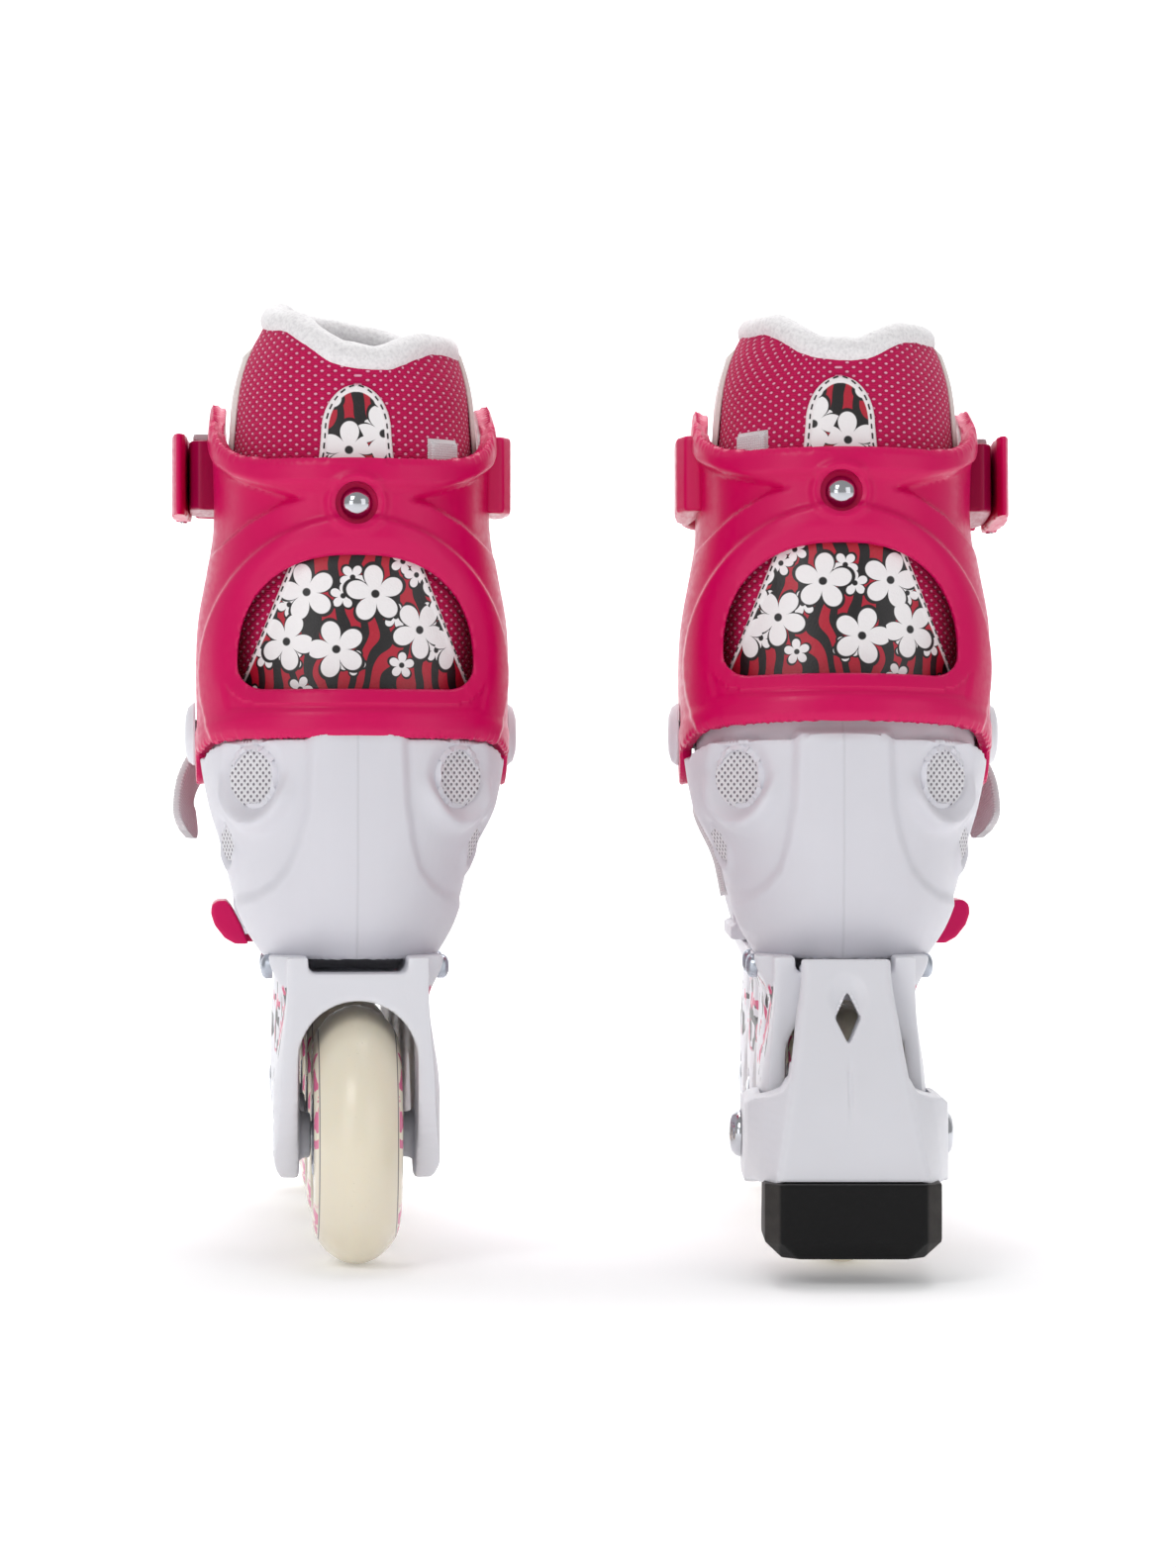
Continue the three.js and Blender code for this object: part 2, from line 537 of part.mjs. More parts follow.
// The toothed strap from the inner ear of the cuff, round the front of the ankle, to the buckle.
function ladderStrap() {
  const inner = [[-40.6, 34], [-41.2, 58], [-39.8, 74], [-24, 87]];
  const points = [...inner, [0, 90.5], [22, 88.5], [36, 83.5], [43, cuff.earFront + 4]];
  const route = points.map(([x, y]) => [x, y, ladder.z]);
  return band(route, Array(3).fill([0, 0, 1]), ladder.width, ladder.thickness, 12);
}

// The lever over the buckle's base, hinged at its front end; its tail stands clear of the base for a finger.
function buckleLever() {
  const { hingeX, hingeY, low, high, tailY, thickness } = buckle;
  const outline = [
    ...arc(hingeX, hingeY, 2.4, -60, 180, 6),
    [hingeX - 1.6, hingeY - 8],
    [hingeX - 1.4, tailY + 14],
    [hingeX - 0.6, tailY + 2],
    [hingeX + 0.6, tailY],
    [hingeX + 1.6, tailY + 1],
    [hingeX + thickness - 0.2, tailY + 16],
    [hingeX + thickness - 0.4, hingeY - 12],
  ];
  return slab(outline, "z", low, high);
}

// ---------------------------------------------------------------- heel brake

function brakeArm() {
  const rows = [
    { z: brake.armLow, half: brake.lowHalf, back: -61, front: -30 },
    { z: 46, half: 16.6, back: -49, front: -26 },
    { z: 66, half: 13.6, back: -36, front: -22 },
    { z: 79.5, half: brake.topHalf, back: -28, front: -20.8 },
    { z: 83.2, half: brake.topHalf, back: -26, front: -20.8 },
  ];
  const ring = ({ z, half, back, front }) =>
    [
      [-half, back + 1.5],
      [-half + 1.5, back],
      [half - 1.5, back],
      [half, back + 1.5],
      [half, front],
      [-half, front],
    ].map(([x, y]) => new THREE.Vector3(x, y, z));
  const body = loft(rows.map(ring));
  const wheelRoom = rod([-14.6, 0, WHEEL_Z], [14.6, 0, WHEEL_Z], wheel.radius + 3.5, 24);
  const legRoom = block([-brake.earInner, frame.rearWall - 0.8, 0], [brake.earInner, 40, 79]);
  const hook = block([-brake.topHalf, -24, brake.slotLow + CLEAR], [brake.topHalf, -9, brake.slotHigh - CLEAR]);
  const diamond = slab([[0, 75], [3.4, 68], [0, 61], [-3.4, 68]], "y", -60, 0);
  let made = body.subtract(wheelRoom).subtract(legRoom).add(hook).subtract(diamond);
  const out = brake.earInner + brake.earThickness;
  const flank = [[16, -58], [18.4, -59.8], [out, -26], [out, 13]];
  const plan = [...flank, [brake.earInner, 13], [brake.earInner, -23], [16, -48]];
  const boss = arc(0, WHEEL_Z, 12.5, -70, 90, 6);
  const side = [[-60, brake.armLow], [-30, brake.armLow], [-9, 23], ...boss, [-16, 50], [-34, 50], [-60, 34]];
  const profile = slab(side, "x", -60, 60);
  for (const mirror of [1, -1]) {
    const wing = slab(plan.map(([x, y]) => [mirror * x, y]), "z", 20, 60).intersect(profile);
    made = made.add(wing);
  }
  made = made.subtract(wheelRoom);
  return made.subtract(rod([-60, 0, WHEEL_Z], [60, 0, WHEEL_Z], bearing.boreRadius, 8));
}

function brakePad() {
  const { padLow, padHigh, padHalf, padRear } = brake;
  const ring = (z, half, rear, front) =>
    [
      [-half, rear + 5],
      [-half + 4.5, rear],
      [half - 4.5, rear],
      [half, rear + 5],
      [half, front],
      [-half, front],
    ].map(([x, y]) => new THREE.Vector3(x, y, z));
  const room = rod([-30, 0, WHEEL_Z], [30, 0, WHEEL_Z], wheel.radius + 3, 24);
  return loft([
    ring(padLow, padHalf - 4.5, padRear + 2.5, -33),
    ring(padLow + 4.5, padHalf, padRear, -33),
    ring(padHigh, padHalf, padRear, -33),
  ]).subtract(room);
}

// ---------------------------------------------------------------- finishes and assembly

const finish = (color, roughness, metalness = 0) => new THREE.MeshStandardMaterial({ color, roughness, metalness });
const WHITE_SHELL = finish(0xe6e5ec, 0.55);
const PINK_SHELL = finish(0xd4125a, 0.35);
const IVORY_URETHANE = finish(0xe8e0cf, 0.3);
const WHITE_HUB = finish(0xe4e2e6, 0.45);
const STEEL = finish(0xb8bcc2, 0.3, 0.9);
const PINK_MESH = finish(0xc0245e, 0.9);
const WHITE_STRAP = finish(0xdcd6d6, 0.7);
const BLACK_RUBBER = finish(0x1b1b1d, 0.85);

function named(name, solid, material) {
  const mesh = new THREE.Mesh(geometryOf(solid), material);
  mesh.name = name;
  return mesh;
}

// A named group, so that the pieces of one moving body stay together; its place is the body's joint.
function bodyGroup(name, position = [0, 0, 0]) {
  const group = new THREE.Group();
  group.name = name;
  group.position.set(...position);
  return group;
}

// A mesh modelled in the skate's frame, put into a group that stands elsewhere in it.
function into(group, mesh) {
  mesh.position.sub(group.position);
  group.add(mesh);
}

function skate(side, hasBrake) {
  const all = new THREE.Group();
  AXLE_YS.forEach((y, i) => {
    const spin = bodyGroup(`${side}_wheel_${i + 1}`, [0, y, WHEEL_Z]);
    spin.add(named(`${side}_tyre_${i + 1}`, tyre(), IVORY_URETHANE));
    spin.add(named(`${side}_hub_${i + 1}`, hub(), WHITE_HUB));
    spin.add(named(`${side}_bearings_${i + 1}`, bearingSet(), STEEL));
    const grip = hasBrake && i === 0 ? brake.earInner + brake.earThickness : frame.bossHalf;
    const bolt = named(`${side}_axle_${i + 1}`, axleBolt(grip), STEEL);
    bolt.position.set(0, y, WHEEL_Z);
    all.add(spin, bolt);
  });
  all.add(named(`${side}_frame`, skateFrame(), WHITE_SHELL));
  all.add(named(`${side}_shell`, heelShell(), WHITE_SHELL));
  all.add(named(`${side}_liner_boot`, linerBoot(), PINK_MESH));
  all.add(named(`${side}_instep_strap`, instepStrap(), WHITE_STRAP));
  for (const [name, mirror] of [["outer", 1], ["inner", -1]]) {
    const cap = named(`${side}_pivot_${name}`, pivotCap(), WHITE_SHELL);
    cap.scale.x = mirror;
    all.add(cap);
  }
  const slide = bodyGroup(`${side}_toe`, [0, toeCap.rearEnd, sole.bottom]);
  into(slide, named(`${side}_toe_cap`, slidingToeCap(), WHITE_SHELL));
  const press = bodyGroup(`${side}_button`, [button.outer, button.y, button.z]);
  into(press, named(`${side}_size_button`, sizeButton(), PINK_SHELL));
  const lean = bodyGroup(`${side}_cuff_body`, [0, pivot.y, pivot.z]);
  into(lean, named(`${side}_cuff`, hingedCuff(), PINK_SHELL));
  into(lean, named(`${side}_liner_cuff`, linerCuff(), PINK_MESH));
  into(lean, named(`${side}_ladder_strap`, ladderStrap(), PINK_SHELL));
  into(lean, named(`${side}_cuff_rivet`, cuffRivet(), STEEL));
  const lever = bodyGroup(`${side}_lever`, [buckle.hingeX, buckle.hingeY - pivot.y, ladder.z - pivot.z]);
  const leverMesh = named(`${side}_buckle_lever`, buckleLever(), PINK_SHELL);
  leverMesh.position.set(-buckle.hingeX, -buckle.hingeY, -ladder.z);
  lever.add(leverMesh);
  lean.add(lever);
  lean.rotation.x = -cuffLean[side] * FOLD;
  all.add(slide, press, lean);
  if (hasBrake) {
    all.add(named(`${side}_brake_arm`, brakeArm(), WHITE_SHELL));
    all.add(named(`${side}_brake_pad`, brakePad(), BLACK_RUBBER));
  }
  return all;
}

const skates = new THREE.Group();
const right = skate("right", true);
right.rotation.z = -pair.toeOut * FOLD;
right.position.x = pair.spacing / 2;
const left = skate("left", false);
left.scale.x = -1;
left.rotation.z = pair.toeOut * FOLD;
left.position.x = -pair.spacing / 2;
skates.add(left, right);

// The origin is on the ground at the middle of the pair's outline.
const outline = new THREE.Box3().setFromObject(skates, true);
skates.position.x = -(outline.min.x + outline.max.x) / 2;
skates.position.y = -(outline.min.y + outline.max.y) / 2;

export default skates;
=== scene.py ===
"""A pair of children's inline skates: white heel shells and frames, pink hinged cuffs, padded liners and a
heel brake on the right skate. Every piece is modelled in its own skate's millimetres, with +X outwards,
+Y forwards and its origin on the ground under the rear axle, and then placed on the left or the right
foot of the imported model."""
import json
import logging
import math
from dataclasses import dataclass
from enum import Enum
from typing import Callable, Iterable, Sequence

import bmesh
import bpy
import numpy as np
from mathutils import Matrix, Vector

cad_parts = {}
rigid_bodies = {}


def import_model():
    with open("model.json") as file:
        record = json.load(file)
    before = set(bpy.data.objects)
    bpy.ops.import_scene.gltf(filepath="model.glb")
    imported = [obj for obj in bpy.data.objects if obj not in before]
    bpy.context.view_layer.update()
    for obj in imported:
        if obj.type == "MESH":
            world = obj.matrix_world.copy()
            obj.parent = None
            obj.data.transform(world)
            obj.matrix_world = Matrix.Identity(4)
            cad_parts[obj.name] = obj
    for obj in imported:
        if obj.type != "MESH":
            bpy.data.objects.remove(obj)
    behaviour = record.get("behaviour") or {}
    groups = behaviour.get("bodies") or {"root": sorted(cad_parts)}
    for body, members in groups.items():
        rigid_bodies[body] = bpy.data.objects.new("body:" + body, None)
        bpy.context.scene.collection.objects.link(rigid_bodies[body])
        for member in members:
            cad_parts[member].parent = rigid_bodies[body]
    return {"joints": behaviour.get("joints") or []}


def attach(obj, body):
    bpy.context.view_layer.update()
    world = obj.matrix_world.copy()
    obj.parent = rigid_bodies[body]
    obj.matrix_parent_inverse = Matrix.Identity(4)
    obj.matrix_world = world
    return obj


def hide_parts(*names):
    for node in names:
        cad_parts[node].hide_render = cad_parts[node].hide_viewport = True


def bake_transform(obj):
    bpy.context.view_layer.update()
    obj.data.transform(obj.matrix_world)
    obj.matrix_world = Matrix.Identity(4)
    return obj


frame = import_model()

LOG = logging.getLogger("skates")
Tree, Node = bpy.types.NodeTree, bpy.types.Node
Socket, Material = bpy.types.NodeSocket, bpy.types.Material
Outline = Sequence[tuple[float, float]]
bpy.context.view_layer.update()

MM = 0.001  # one millimetre in metres
PITCH = 76.0  # from one axle to the next
AXLES = 4
AXLE_Z = 35.0
ANKLE = (45.0, 144.0)  # y and z of the cuff's pivots
PIVOT_HOLE = 4.3
HEEL_Y = 32.0  # where a boot section's heel curve meets its side
WAIST_Y = 84.0  # where a boot section is measured at the waist of the foot


# ------------------------------------------------------------ numbers


def smooth(low: float, high: float, value: np.ndarray) -> np.ndarray:
    """Rises smoothly from 0 at low to 1 at high.

    Args:
        low: where the step starts.
        high: where the step ends; it may be below low for a falling step.
        value: the numbers to grade.

    Returns:
        The grade of each number, from 0 to 1.
    """
    t = np.clip((np.asarray(value, float) - low) / (high - low), 0.0, 1.0)
    return t * t * (3.0 - 2.0 * t)


def flowing(stations: Sequence[float], values: Sequence[float], at: np.ndarray) -> np.ndarray:
    """A smooth curve through a few stations.

    Args:
        stations: rising positions of the known values.
        values: the value at each station.
        at: where to read the curve.

    Returns:
        The curve's value at each position.
    """
    xs, ys = np.asarray(stations, float), np.asarray(values, float)
    at = np.clip(np.asarray(at, float), xs[0], xs[-1])
    slope = np.gradient(ys, xs)
    i = np.clip(np.searchsorted(xs, at) - 1, 0, len(xs) - 2)
    width = xs[i + 1] - xs[i]
    t = (at - xs[i]) / width
    first = (2 * t**3 - 3 * t**2 + 1) * ys[i] + (t**3 - 2 * t**2 + t) * width * slope[i]
    second = (3 * t**2 - 2 * t**3) * ys[i + 1] + (t**3 - t**2) * width * slope[i + 1]
    return first + second


def bent(value: np.ndarray, exponent: float) -> np.ndarray:
    """A signed power, which squares up or rounds off a circle's sine or cosine."""
    return np.sign(value) * np.abs(value) ** exponent


def arc(a: float, b: float, radius: float, start: float, stop: float, steps: int = 24) -> Outline:
    """Points of a flat arc.

    Args:
        a: first coordinate of the centre.
        b: second coordinate of the centre.
        radius: the arc's radius.
        start: its first angle in degrees.
        stop: its last angle in degrees.
        steps: how many chords it has.

    Returns:
        The arc's points in order.
    """
    turn = np.radians(np.linspace(start, stop, steps + 1))
    return [(a + radius * math.cos(t), b + radius * math.sin(t)) for t in turn]


def beside(curve: np.ndarray, points: np.ndarray) -> np.ndarray:
    """How far flat points lie from a flat curve, and on which side.

    Args:
        curve: the curve's points, in order.
        points: the points to measure.

    Returns:
        The distances, signed by the side of the curve.
    """
    best = np.full(len(points), 1e9)
    sign = np.ones(len(points))
    for p, q in zip(curve[:-1], curve[1:]):
        d = q - p
        t = np.clip(((points - p) @ d) / (d @ d), 0, 1)
        off = points - (p + t[:, None] * d)
        dist = np.hypot(off[:, 0], off[:, 1])
        closer = dist < best
        best[closer] = dist[closer]
        sign[closer] = np.sign(d[0] * off[:, 1] - d[1] * off[:, 0])[closer]
    return best * np.where(sign == 0, 1, sign)


# ------------------------------------------------------------ forms


@dataclass
class Form:
    """A mesh in a skate's own millimetres."""

    points: np.ndarray
    faces: list[tuple[int, ...]]
    cloth: np.ndarray | None = None  # a pattern's flat coordinates at each point, in millimetres

    def moved(self, change: Callable[[np.ndarray], np.ndarray]) -> "Form":
        """The same mesh with its points changed by a function."""
        return Form(change(self.points.copy()), self.faces, self.cloth)


def joined(forms: Sequence[Form]) -> Form:
    """Several meshes as one, with nothing welded."""
    points, faces, cloth, base = [], [], [], 0
    for form in forms:
        points.append(form.points)
        faces += [tuple(base + i for i in f) for f in form.faces]
        cloth.append(form.cloth if form.cloth is not None else np.zeros((len(form.points), 2)))
        base += len(form.points)
    return Form(np.concatenate(points), faces, np.concatenate(cloth))


def loft(rings: np.ndarray, capped: bool = True, closed: bool = False,
        cloth: np.ndarray | None = None) -> Form:
    """A skin through rings of points.

    Args:
        rings: an array of rings, each with the same number of points in order.
        capped: whether the first and the last ring are filled.
        closed: whether the last ring is joined to the first.
        cloth: pattern coordinates of the rings' points, in the same layout.

    Returns:
        The closed or open tube.
    """
    count, size = rings.shape[:2]
    faces: list[tuple[int, ...]] = []
    for r in range(count if closed else count - 1):
        here, ahead = r * size, (r + 1) % count * size
        faces += [(here + i, here + j, ahead + j, ahead + i) for i,
            j in zip(range(size), [*range(1, size), 0])]
    if capped:
        faces.append(tuple(reversed(range(size))))
        faces.append(tuple((count - 1) * size + i for i in range(size)))
    return Form(rings.reshape(-1, 3), faces, None if cloth is None else cloth.reshape(-1, 2))


def turned(profile: Outline, steps: int = 96) -> Form:
    """A ring turned about the X axis from a closed profile of (radius, x) points."""
    turn = np.linspace(0, 2 * math.pi, steps, endpoint=False)
    profile_points = np.asarray(profile, float)
    rings = np.empty((steps, len(profile), 3))
    rings[:, :, 0] = profile_points[:, 1]
    rings[:, :, 1] = profile_points[:, 0] * np.cos(turn)[:, None]
    rings[:, :, 2] = profile_points[:, 0] * np.sin(turn)[:, None]
    return loft(rings, capped=False, closed=True)


def dome_turned(profile: Outline, steps: int = 48) -> Form:
    """A solid turned about the X axis from (radius, x) points that start and end on the axis."""
    inner = np.asarray(profile[1:-1], float)
    turn = np.linspace(0, 2 * math.pi, steps, endpoint=False)
    rings = np.empty((len(inner), steps, 3))
    rings[:, :, 0] = inner[:, 1][:, None]
    rings[:, :, 1] = inner[:, 0][:, None] * np.cos(turn)[None, :]
    rings[:, :, 2] = inner[:, 0][:, None] * np.sin(turn)[None, :]
    form = loft(rings, capped=False)
    tips = np.array([[profile[0][1], 0, 0], [profile[-1][1], 0, 0]], float)
    n, last = len(form.points), (len(inner) - 1) * steps
    fans = [(n, (i + 1) % steps, i) for i in range(steps)]
    fans += [(n + 1, last + i, last + (i + 1) % steps) for i in range(steps)]
    return Form(np.concatenate([form.points, tips]), form.faces + fans)


def slab(outline: Outline, axis: str, low: float, high: float) -> Form:
    """An outline pushed along one axis.

    Args:
        outline: points in (y, z) for axis "x", (x, z) for "y" or (x, y) for "z".
        axis: the direction it is pushed along.
        low: where it starts.
        high: where it ends.

    Returns:
        The closed prism.
    """
    flat = np.asarray(outline, float)
    rings = []
    for depth in (low, high):
        filled = np.full(len(flat), depth)
        columns = {"x": (filled, flat[:, 0], flat[:, 1]), "y": (flat[:, 0], filled, flat[:, 1])}
        columns["z"] = (flat[:, 0], flat[:, 1], filled)
        rings.append(np.stack(columns[axis], axis=1))
    return loft(np.array(rings))


def rod(start: Sequence[float], stop: Sequence[float], radius: float, steps: int = 32) -> Form:
    """A round bar from one point to another."""
    a, b = np.asarray(start, float), np.asarray(stop, float)
    along = (b - a) / np.linalg.norm(b - a)
    side = np.cross(along, (0, 0, 1.0))
    if np.linalg.norm(side) < 1e-6:
        side = np.array((1.0, 0, 0))
    side /= np.linalg.norm(side)
    up = np.cross(side, along)
    turn = np.linspace(0, 2 * math.pi, steps, endpoint=False)
    round_off = radius * (np.cos(turn)[:, None] * side + np.sin(turn)[:, None] * up)
    return loft(np.array([a + round_off, b + round_off]))


def turn_outwards(mesh: bpy.types.Mesh) -> None:
    """Turns a closed mesh's faces outwards."""
    shape = bmesh.new()
    shape.from_mesh(mesh)
    bmesh.ops.recalc_face_normals(shape, faces=shape.faces)
    shape.to_mesh(mesh)
    shape.free()


def work_object(form: Form) -> bpy.types.Object:
    """A passing object that holds a form while modifiers work on it, with its faces turned outwards."""
    mesh = bpy.data.meshes.new("work")
    mesh.from_pydata(form.points.tolist(), [], form.faces)
    mesh.update()
    turn_outwards(mesh)
    obj = bpy.data.objects.new("work", mesh)
    bpy.context.scene.collection.objects.link(obj)
    return obj


def form_of(obj: bpy.types.Object) -> Form:
    """The form that an object's modifiers leave; the object is removed."""
    graph = bpy.context.evaluated_depsgraph_get()
    mesh = bpy.data.meshes.new_from_object(obj.evaluated_get(graph), depsgraph=graph)
    points = np.empty(len(mesh.vertices) * 3)
    mesh.vertices.foreach_get("co", points)
    faces = [tuple(p.vertices) for p in mesh.polygons]
    bpy.data.meshes.remove(mesh)
    bpy.data.objects.remove(obj)
    return Form(points.reshape(-1, 3), faces)


class Cut(Enum):
    """What a boolean does with its tool."""

    TAKE = "DIFFERENCE"
    KEEP = "INTERSECT"


def carve(body: Form, steps: Iterable[tuple[Cut, Form]]) -> Form:
    """A form cut by or kept inside others, in order."""
    obj = work_object(body)
    tools = []
    for action, tool in steps:
        tools.append(work_object(tool))
        modifier = obj.modifiers.new("cut", "BOOLEAN")
        modifier.operation = action.value
        modifier.solver = "EXACT"
        modifier.object = tools[-1]
    made = form_of(obj)
    for tool in tools:
        bpy.data.objects.remove(tool)
    return made


def melt(form: Form, voxel: float, rounds: int) -> Form:
    """A moulded version of a form: an even mesh with its corners rounded.

    Args:
        form: closed pieces, which may overlap.
        voxel: the spacing of the new mesh in millimetres.
        rounds: how often it is smoothed; more rounds give larger corner radii.

    Returns:
        The even mesh.
    """
    obj = work_object(form)
    remesh = obj.modifiers.new("even", "REMESH")
    remesh.mode = "VOXEL"
    remesh.voxel_size = voxel
    soften = obj.modifiers.new("soften", "SMOOTH")
    soften.factor = 0.5
    soften.iterations = rounds
    return form_of(obj)


def normals_of(form: Form) -> np.ndarray:
    """The outward direction at each point of a form."""
    mesh = bpy.data.meshes.new("normals")
    mesh.from_pydata(form.points.tolist(), [], form.faces)
    mesh.update()
    out = np.empty(len(mesh.vertices) * 3, np.float32)
    mesh.vertex_normals.foreach_get("vector", out)
    bpy.data.meshes.remove(mesh)
    return out.reshape(-1, 3).astype(float)


def embossed(form: Form, height: Callable[[np.ndarray, np.ndarray], np.ndarray]) -> Form:
    """A form whose surface is raised or sunk by a height that depends on place and direction."""
    normals = normals_of(form)
    lift = height(form.points, normals)
    return Form(form.points + normals * lift[:, None], form.faces, form.cloth)


def band(route: Sequence[Sequence[float]], across: Sequence[Sequence[float]], width: float,
        thickness: float, steps: int = 90, edge: int = 3, rounded: float = 0.0) -> Form:
    """A flat strap along a smooth route, with rounded edges.

    Args:
        route: points that the strap's middle passes.
        across: the direction of its width at its start, middle and end.
        width: the strap's width.
        thickness: the strap's thickness.
        steps: how many rings it has.
        edge: how finely its edges are rounded.
        rounded: the corner radius of its far end.

    Returns:
        The closed strap, with pattern coordinates along and across it.
    """
    points = np.asarray(route, float)
    stations = np.concatenate([[0], np.cumsum(np.linalg.norm(np.diff(points, axis=0), axis=1))])
    at = np.linspace(0, stations[-1], steps)
    path = np.stack([flowing(stations, points[:, k], at) for k in range(3)], axis=1)
    tangent = np.gradient(path, axis=0)
    tangent /= np.linalg.norm(tangent, axis=1)[:, None]
    three = np.asarray(across, float)
    wide = np.stack([np.interp(np.linspace(0, 1, steps), [0, 0.5, 1], three[:, k]) for k in range(3)],
        axis=1)
    wide -= (wide * tangent).sum(1)[:, None] * tangent
    wide /= np.linalg.norm(wide, axis=1)[:, None]
    thick = np.cross(tangent, wide)
    h = thickness / 2
    flat = np.linspace(-width / 2 + h, width / 2 - h, 14)
    right = [(width / 2 - h + h * math.cos(t), h * math.sin(t)) for t in np.linspace(-1.57, 1.57, edge + 2)]
    left = [(-width / 2 + h + h * math.cos(t), h * math.sin(t)) for t in np.linspace(1.57, 4.71, edge + 2)]
    ring = [(w, -h) for w in flat[1:-1]] + right + [(w, h) for w in flat[::-1][1:-1]] + left
    left_over = np.clip((stations[-1] - at) / rounded, 0, 1) if rounded else np.ones(steps)
    narrow = 0.35 + 0.65 * np.sqrt(1 - (1 - left_over) ** 2)
    rings = np.array([[path[i] + w * narrow[i] * wide[i] + t * thick[i] for w, t in ring]
        for i in range(steps)])
    cloth = np.array([[(at[i], w) for w, _ in ring] for i in range(steps)])
    return loft(rings, cloth=cloth)


# ------------------------------------------------------------ boot sections


@dataclass(frozen=True)
class Rows:
    """Horizontal sections of a boot: columns of z, rear, heel, waist, ball, ball's y and toe."""

    table: tuple[tuple[float, ...], ...]

    def at(self, z: np.ndarray) -> np.ndarray:
        """The six sizes at each height."""
        t = np.asarray(self.table, float)
        return np.stack([flowing(t[:, 0], t[:, k], z) for k in range(1, 7)], axis=-1)

    def outline(self, z: float, inset: float, count: int) -> np.ndarray:
        """One section as evenly spaced points.

        Args:
            z: the section's height.
            inset: how far it is drawn in.
            count: how many points it has; they run from the heel's middle along +X to the toe and back.

        Returns:
            The (x, y) points.
        """
        rear, heel, waist, ball, ball_y, toe = self.at(np.array([z]))[0]
        quarter = np.linspace(0, math.pi / 2, 40)
        back = np.stack([(heel - inset) * bent(np.sin(quarter), 0.92),
            HEEL_Y - (HEEL_Y - rear - inset) * bent(np.cos(quarter), 0.92)], axis=1)
        y = np.linspace(HEEL_Y, ball_y, 40)[1:-1]
        known = ([HEEL_Y, WAIST_Y, ball_y], [heel, waist, ball]) if ball_y > WAIST_Y else ([HEEL_Y, ball_y],
            [heel, ball])
        side = np.stack([self._width(known, y) - inset, y], axis=1)
        front = np.stack([(ball - inset) * bent(np.cos(quarter), 0.86),
            ball_y + (toe - inset - ball_y) * bent(np.sin(quarter), 0.86)], axis=1)
        half = np.concatenate([back, side, front])
        whole = np.concatenate([half, (half * (-1, 1))[::-1][1:]])
        length = np.concatenate([[0], np.cumsum(np.hypot(*np.diff(whole, axis=0).T))])
        even = np.linspace(0, length[-1], count, endpoint=False)
        return np.stack([np.interp(even, length, whole[:, 0]), np.interp(even, length, whole[:, 1])],
            axis=1)

    @staticmethod
    def _width(known: tuple[list[float], list[float]], y: np.ndarray) -> np.ndarray:
        """The half-width between stations, level at each of them."""
        ys, widths = known
        out = np.full(len(y), float(widths[0]))
        for i in range(len(ys) - 1):
            out += (widths[i + 1] - widths[i]) * smooth(ys[i], ys[i + 1], y)
        return out

    def rear_y(self, x: np.ndarray, z: np.ndarray, inset: float = 0.0) -> np.ndarray:
        """Where the heel's surface lies along Y, for points near the back."""
        sizes = self.at(z)
        share = np.clip(np.abs(x) / (sizes[..., 1] - inset), 0, 0.999) ** (1 / 0.92)
        return HEEL_Y - (HEEL_Y - sizes[..., 0] - inset) * np.sqrt(1 - share**2) ** 0.92

    def skin(self, low: float, high: float, inset: float, levels: int = 40, count: int = 120) -> Form:
        """The closed form between two heights."""
        rings = []
        for z in np.linspace(low, high, levels):
            flat = self.outline(float(z), inset, count)
            rings.append(np.column_stack([flat, np.full(count, z)]))
        return loft(np.array(rings))


# ------------------------------------------------------------ finishes


def linear(colour: str) -> tuple[float, float, float, float]:
    """An sRGB hex colour as the linear colour that the shader takes."""
    channels = [int(colour[i : i + 2], 16) / 255 for i in (1, 3, 5)]
    turned_linear = [c / 12.92 if c <= 0.04045 else ((c + 0.055) / 1.055) ** 2.4 for c in channels]
    return (*turned_linear, 1.0)


def shaded(colour: str, share: float, lift: float = 0.0) -> tuple[float, ...]:
    """A colour made darker or lighter by a share and a small lift, as the shader takes it."""
    return (*(min(1.0, c * share + lift) for c in linear(colour)[:3]), 1.0)


def plug(tree: Tree, node: Node, sockets: dict) -> None:
    """Fills a node's inputs, each with a value, another node's output or a node, which stands for its
    first output."""
    for key, value in sockets.items():
        if isinstance(value, Node):
            value = value.outputs[0]
        if isinstance(value, Socket):
            tree.links.new(value, node.inputs[key])
        else:
            node.inputs[key].default_value = value


def add(tree: Tree, kind: str, sockets: dict | None = None, **settings: object) -> Node:
    """Adds a node.

    Args:
        tree: the tree it goes into.
        kind: its type, without "ShaderNode" for a shader's node.
        sockets: values or other nodes' outputs for its inputs, by name or number.
        settings: its own options.

    Returns:
        The new node.
    """
    node = tree.nodes.new(kind if "Node" in kind else f"ShaderNode{kind}")
    for key, value in settings.items():
        setattr(node, key, value)
    plug(tree, node, sockets or {})
    return node


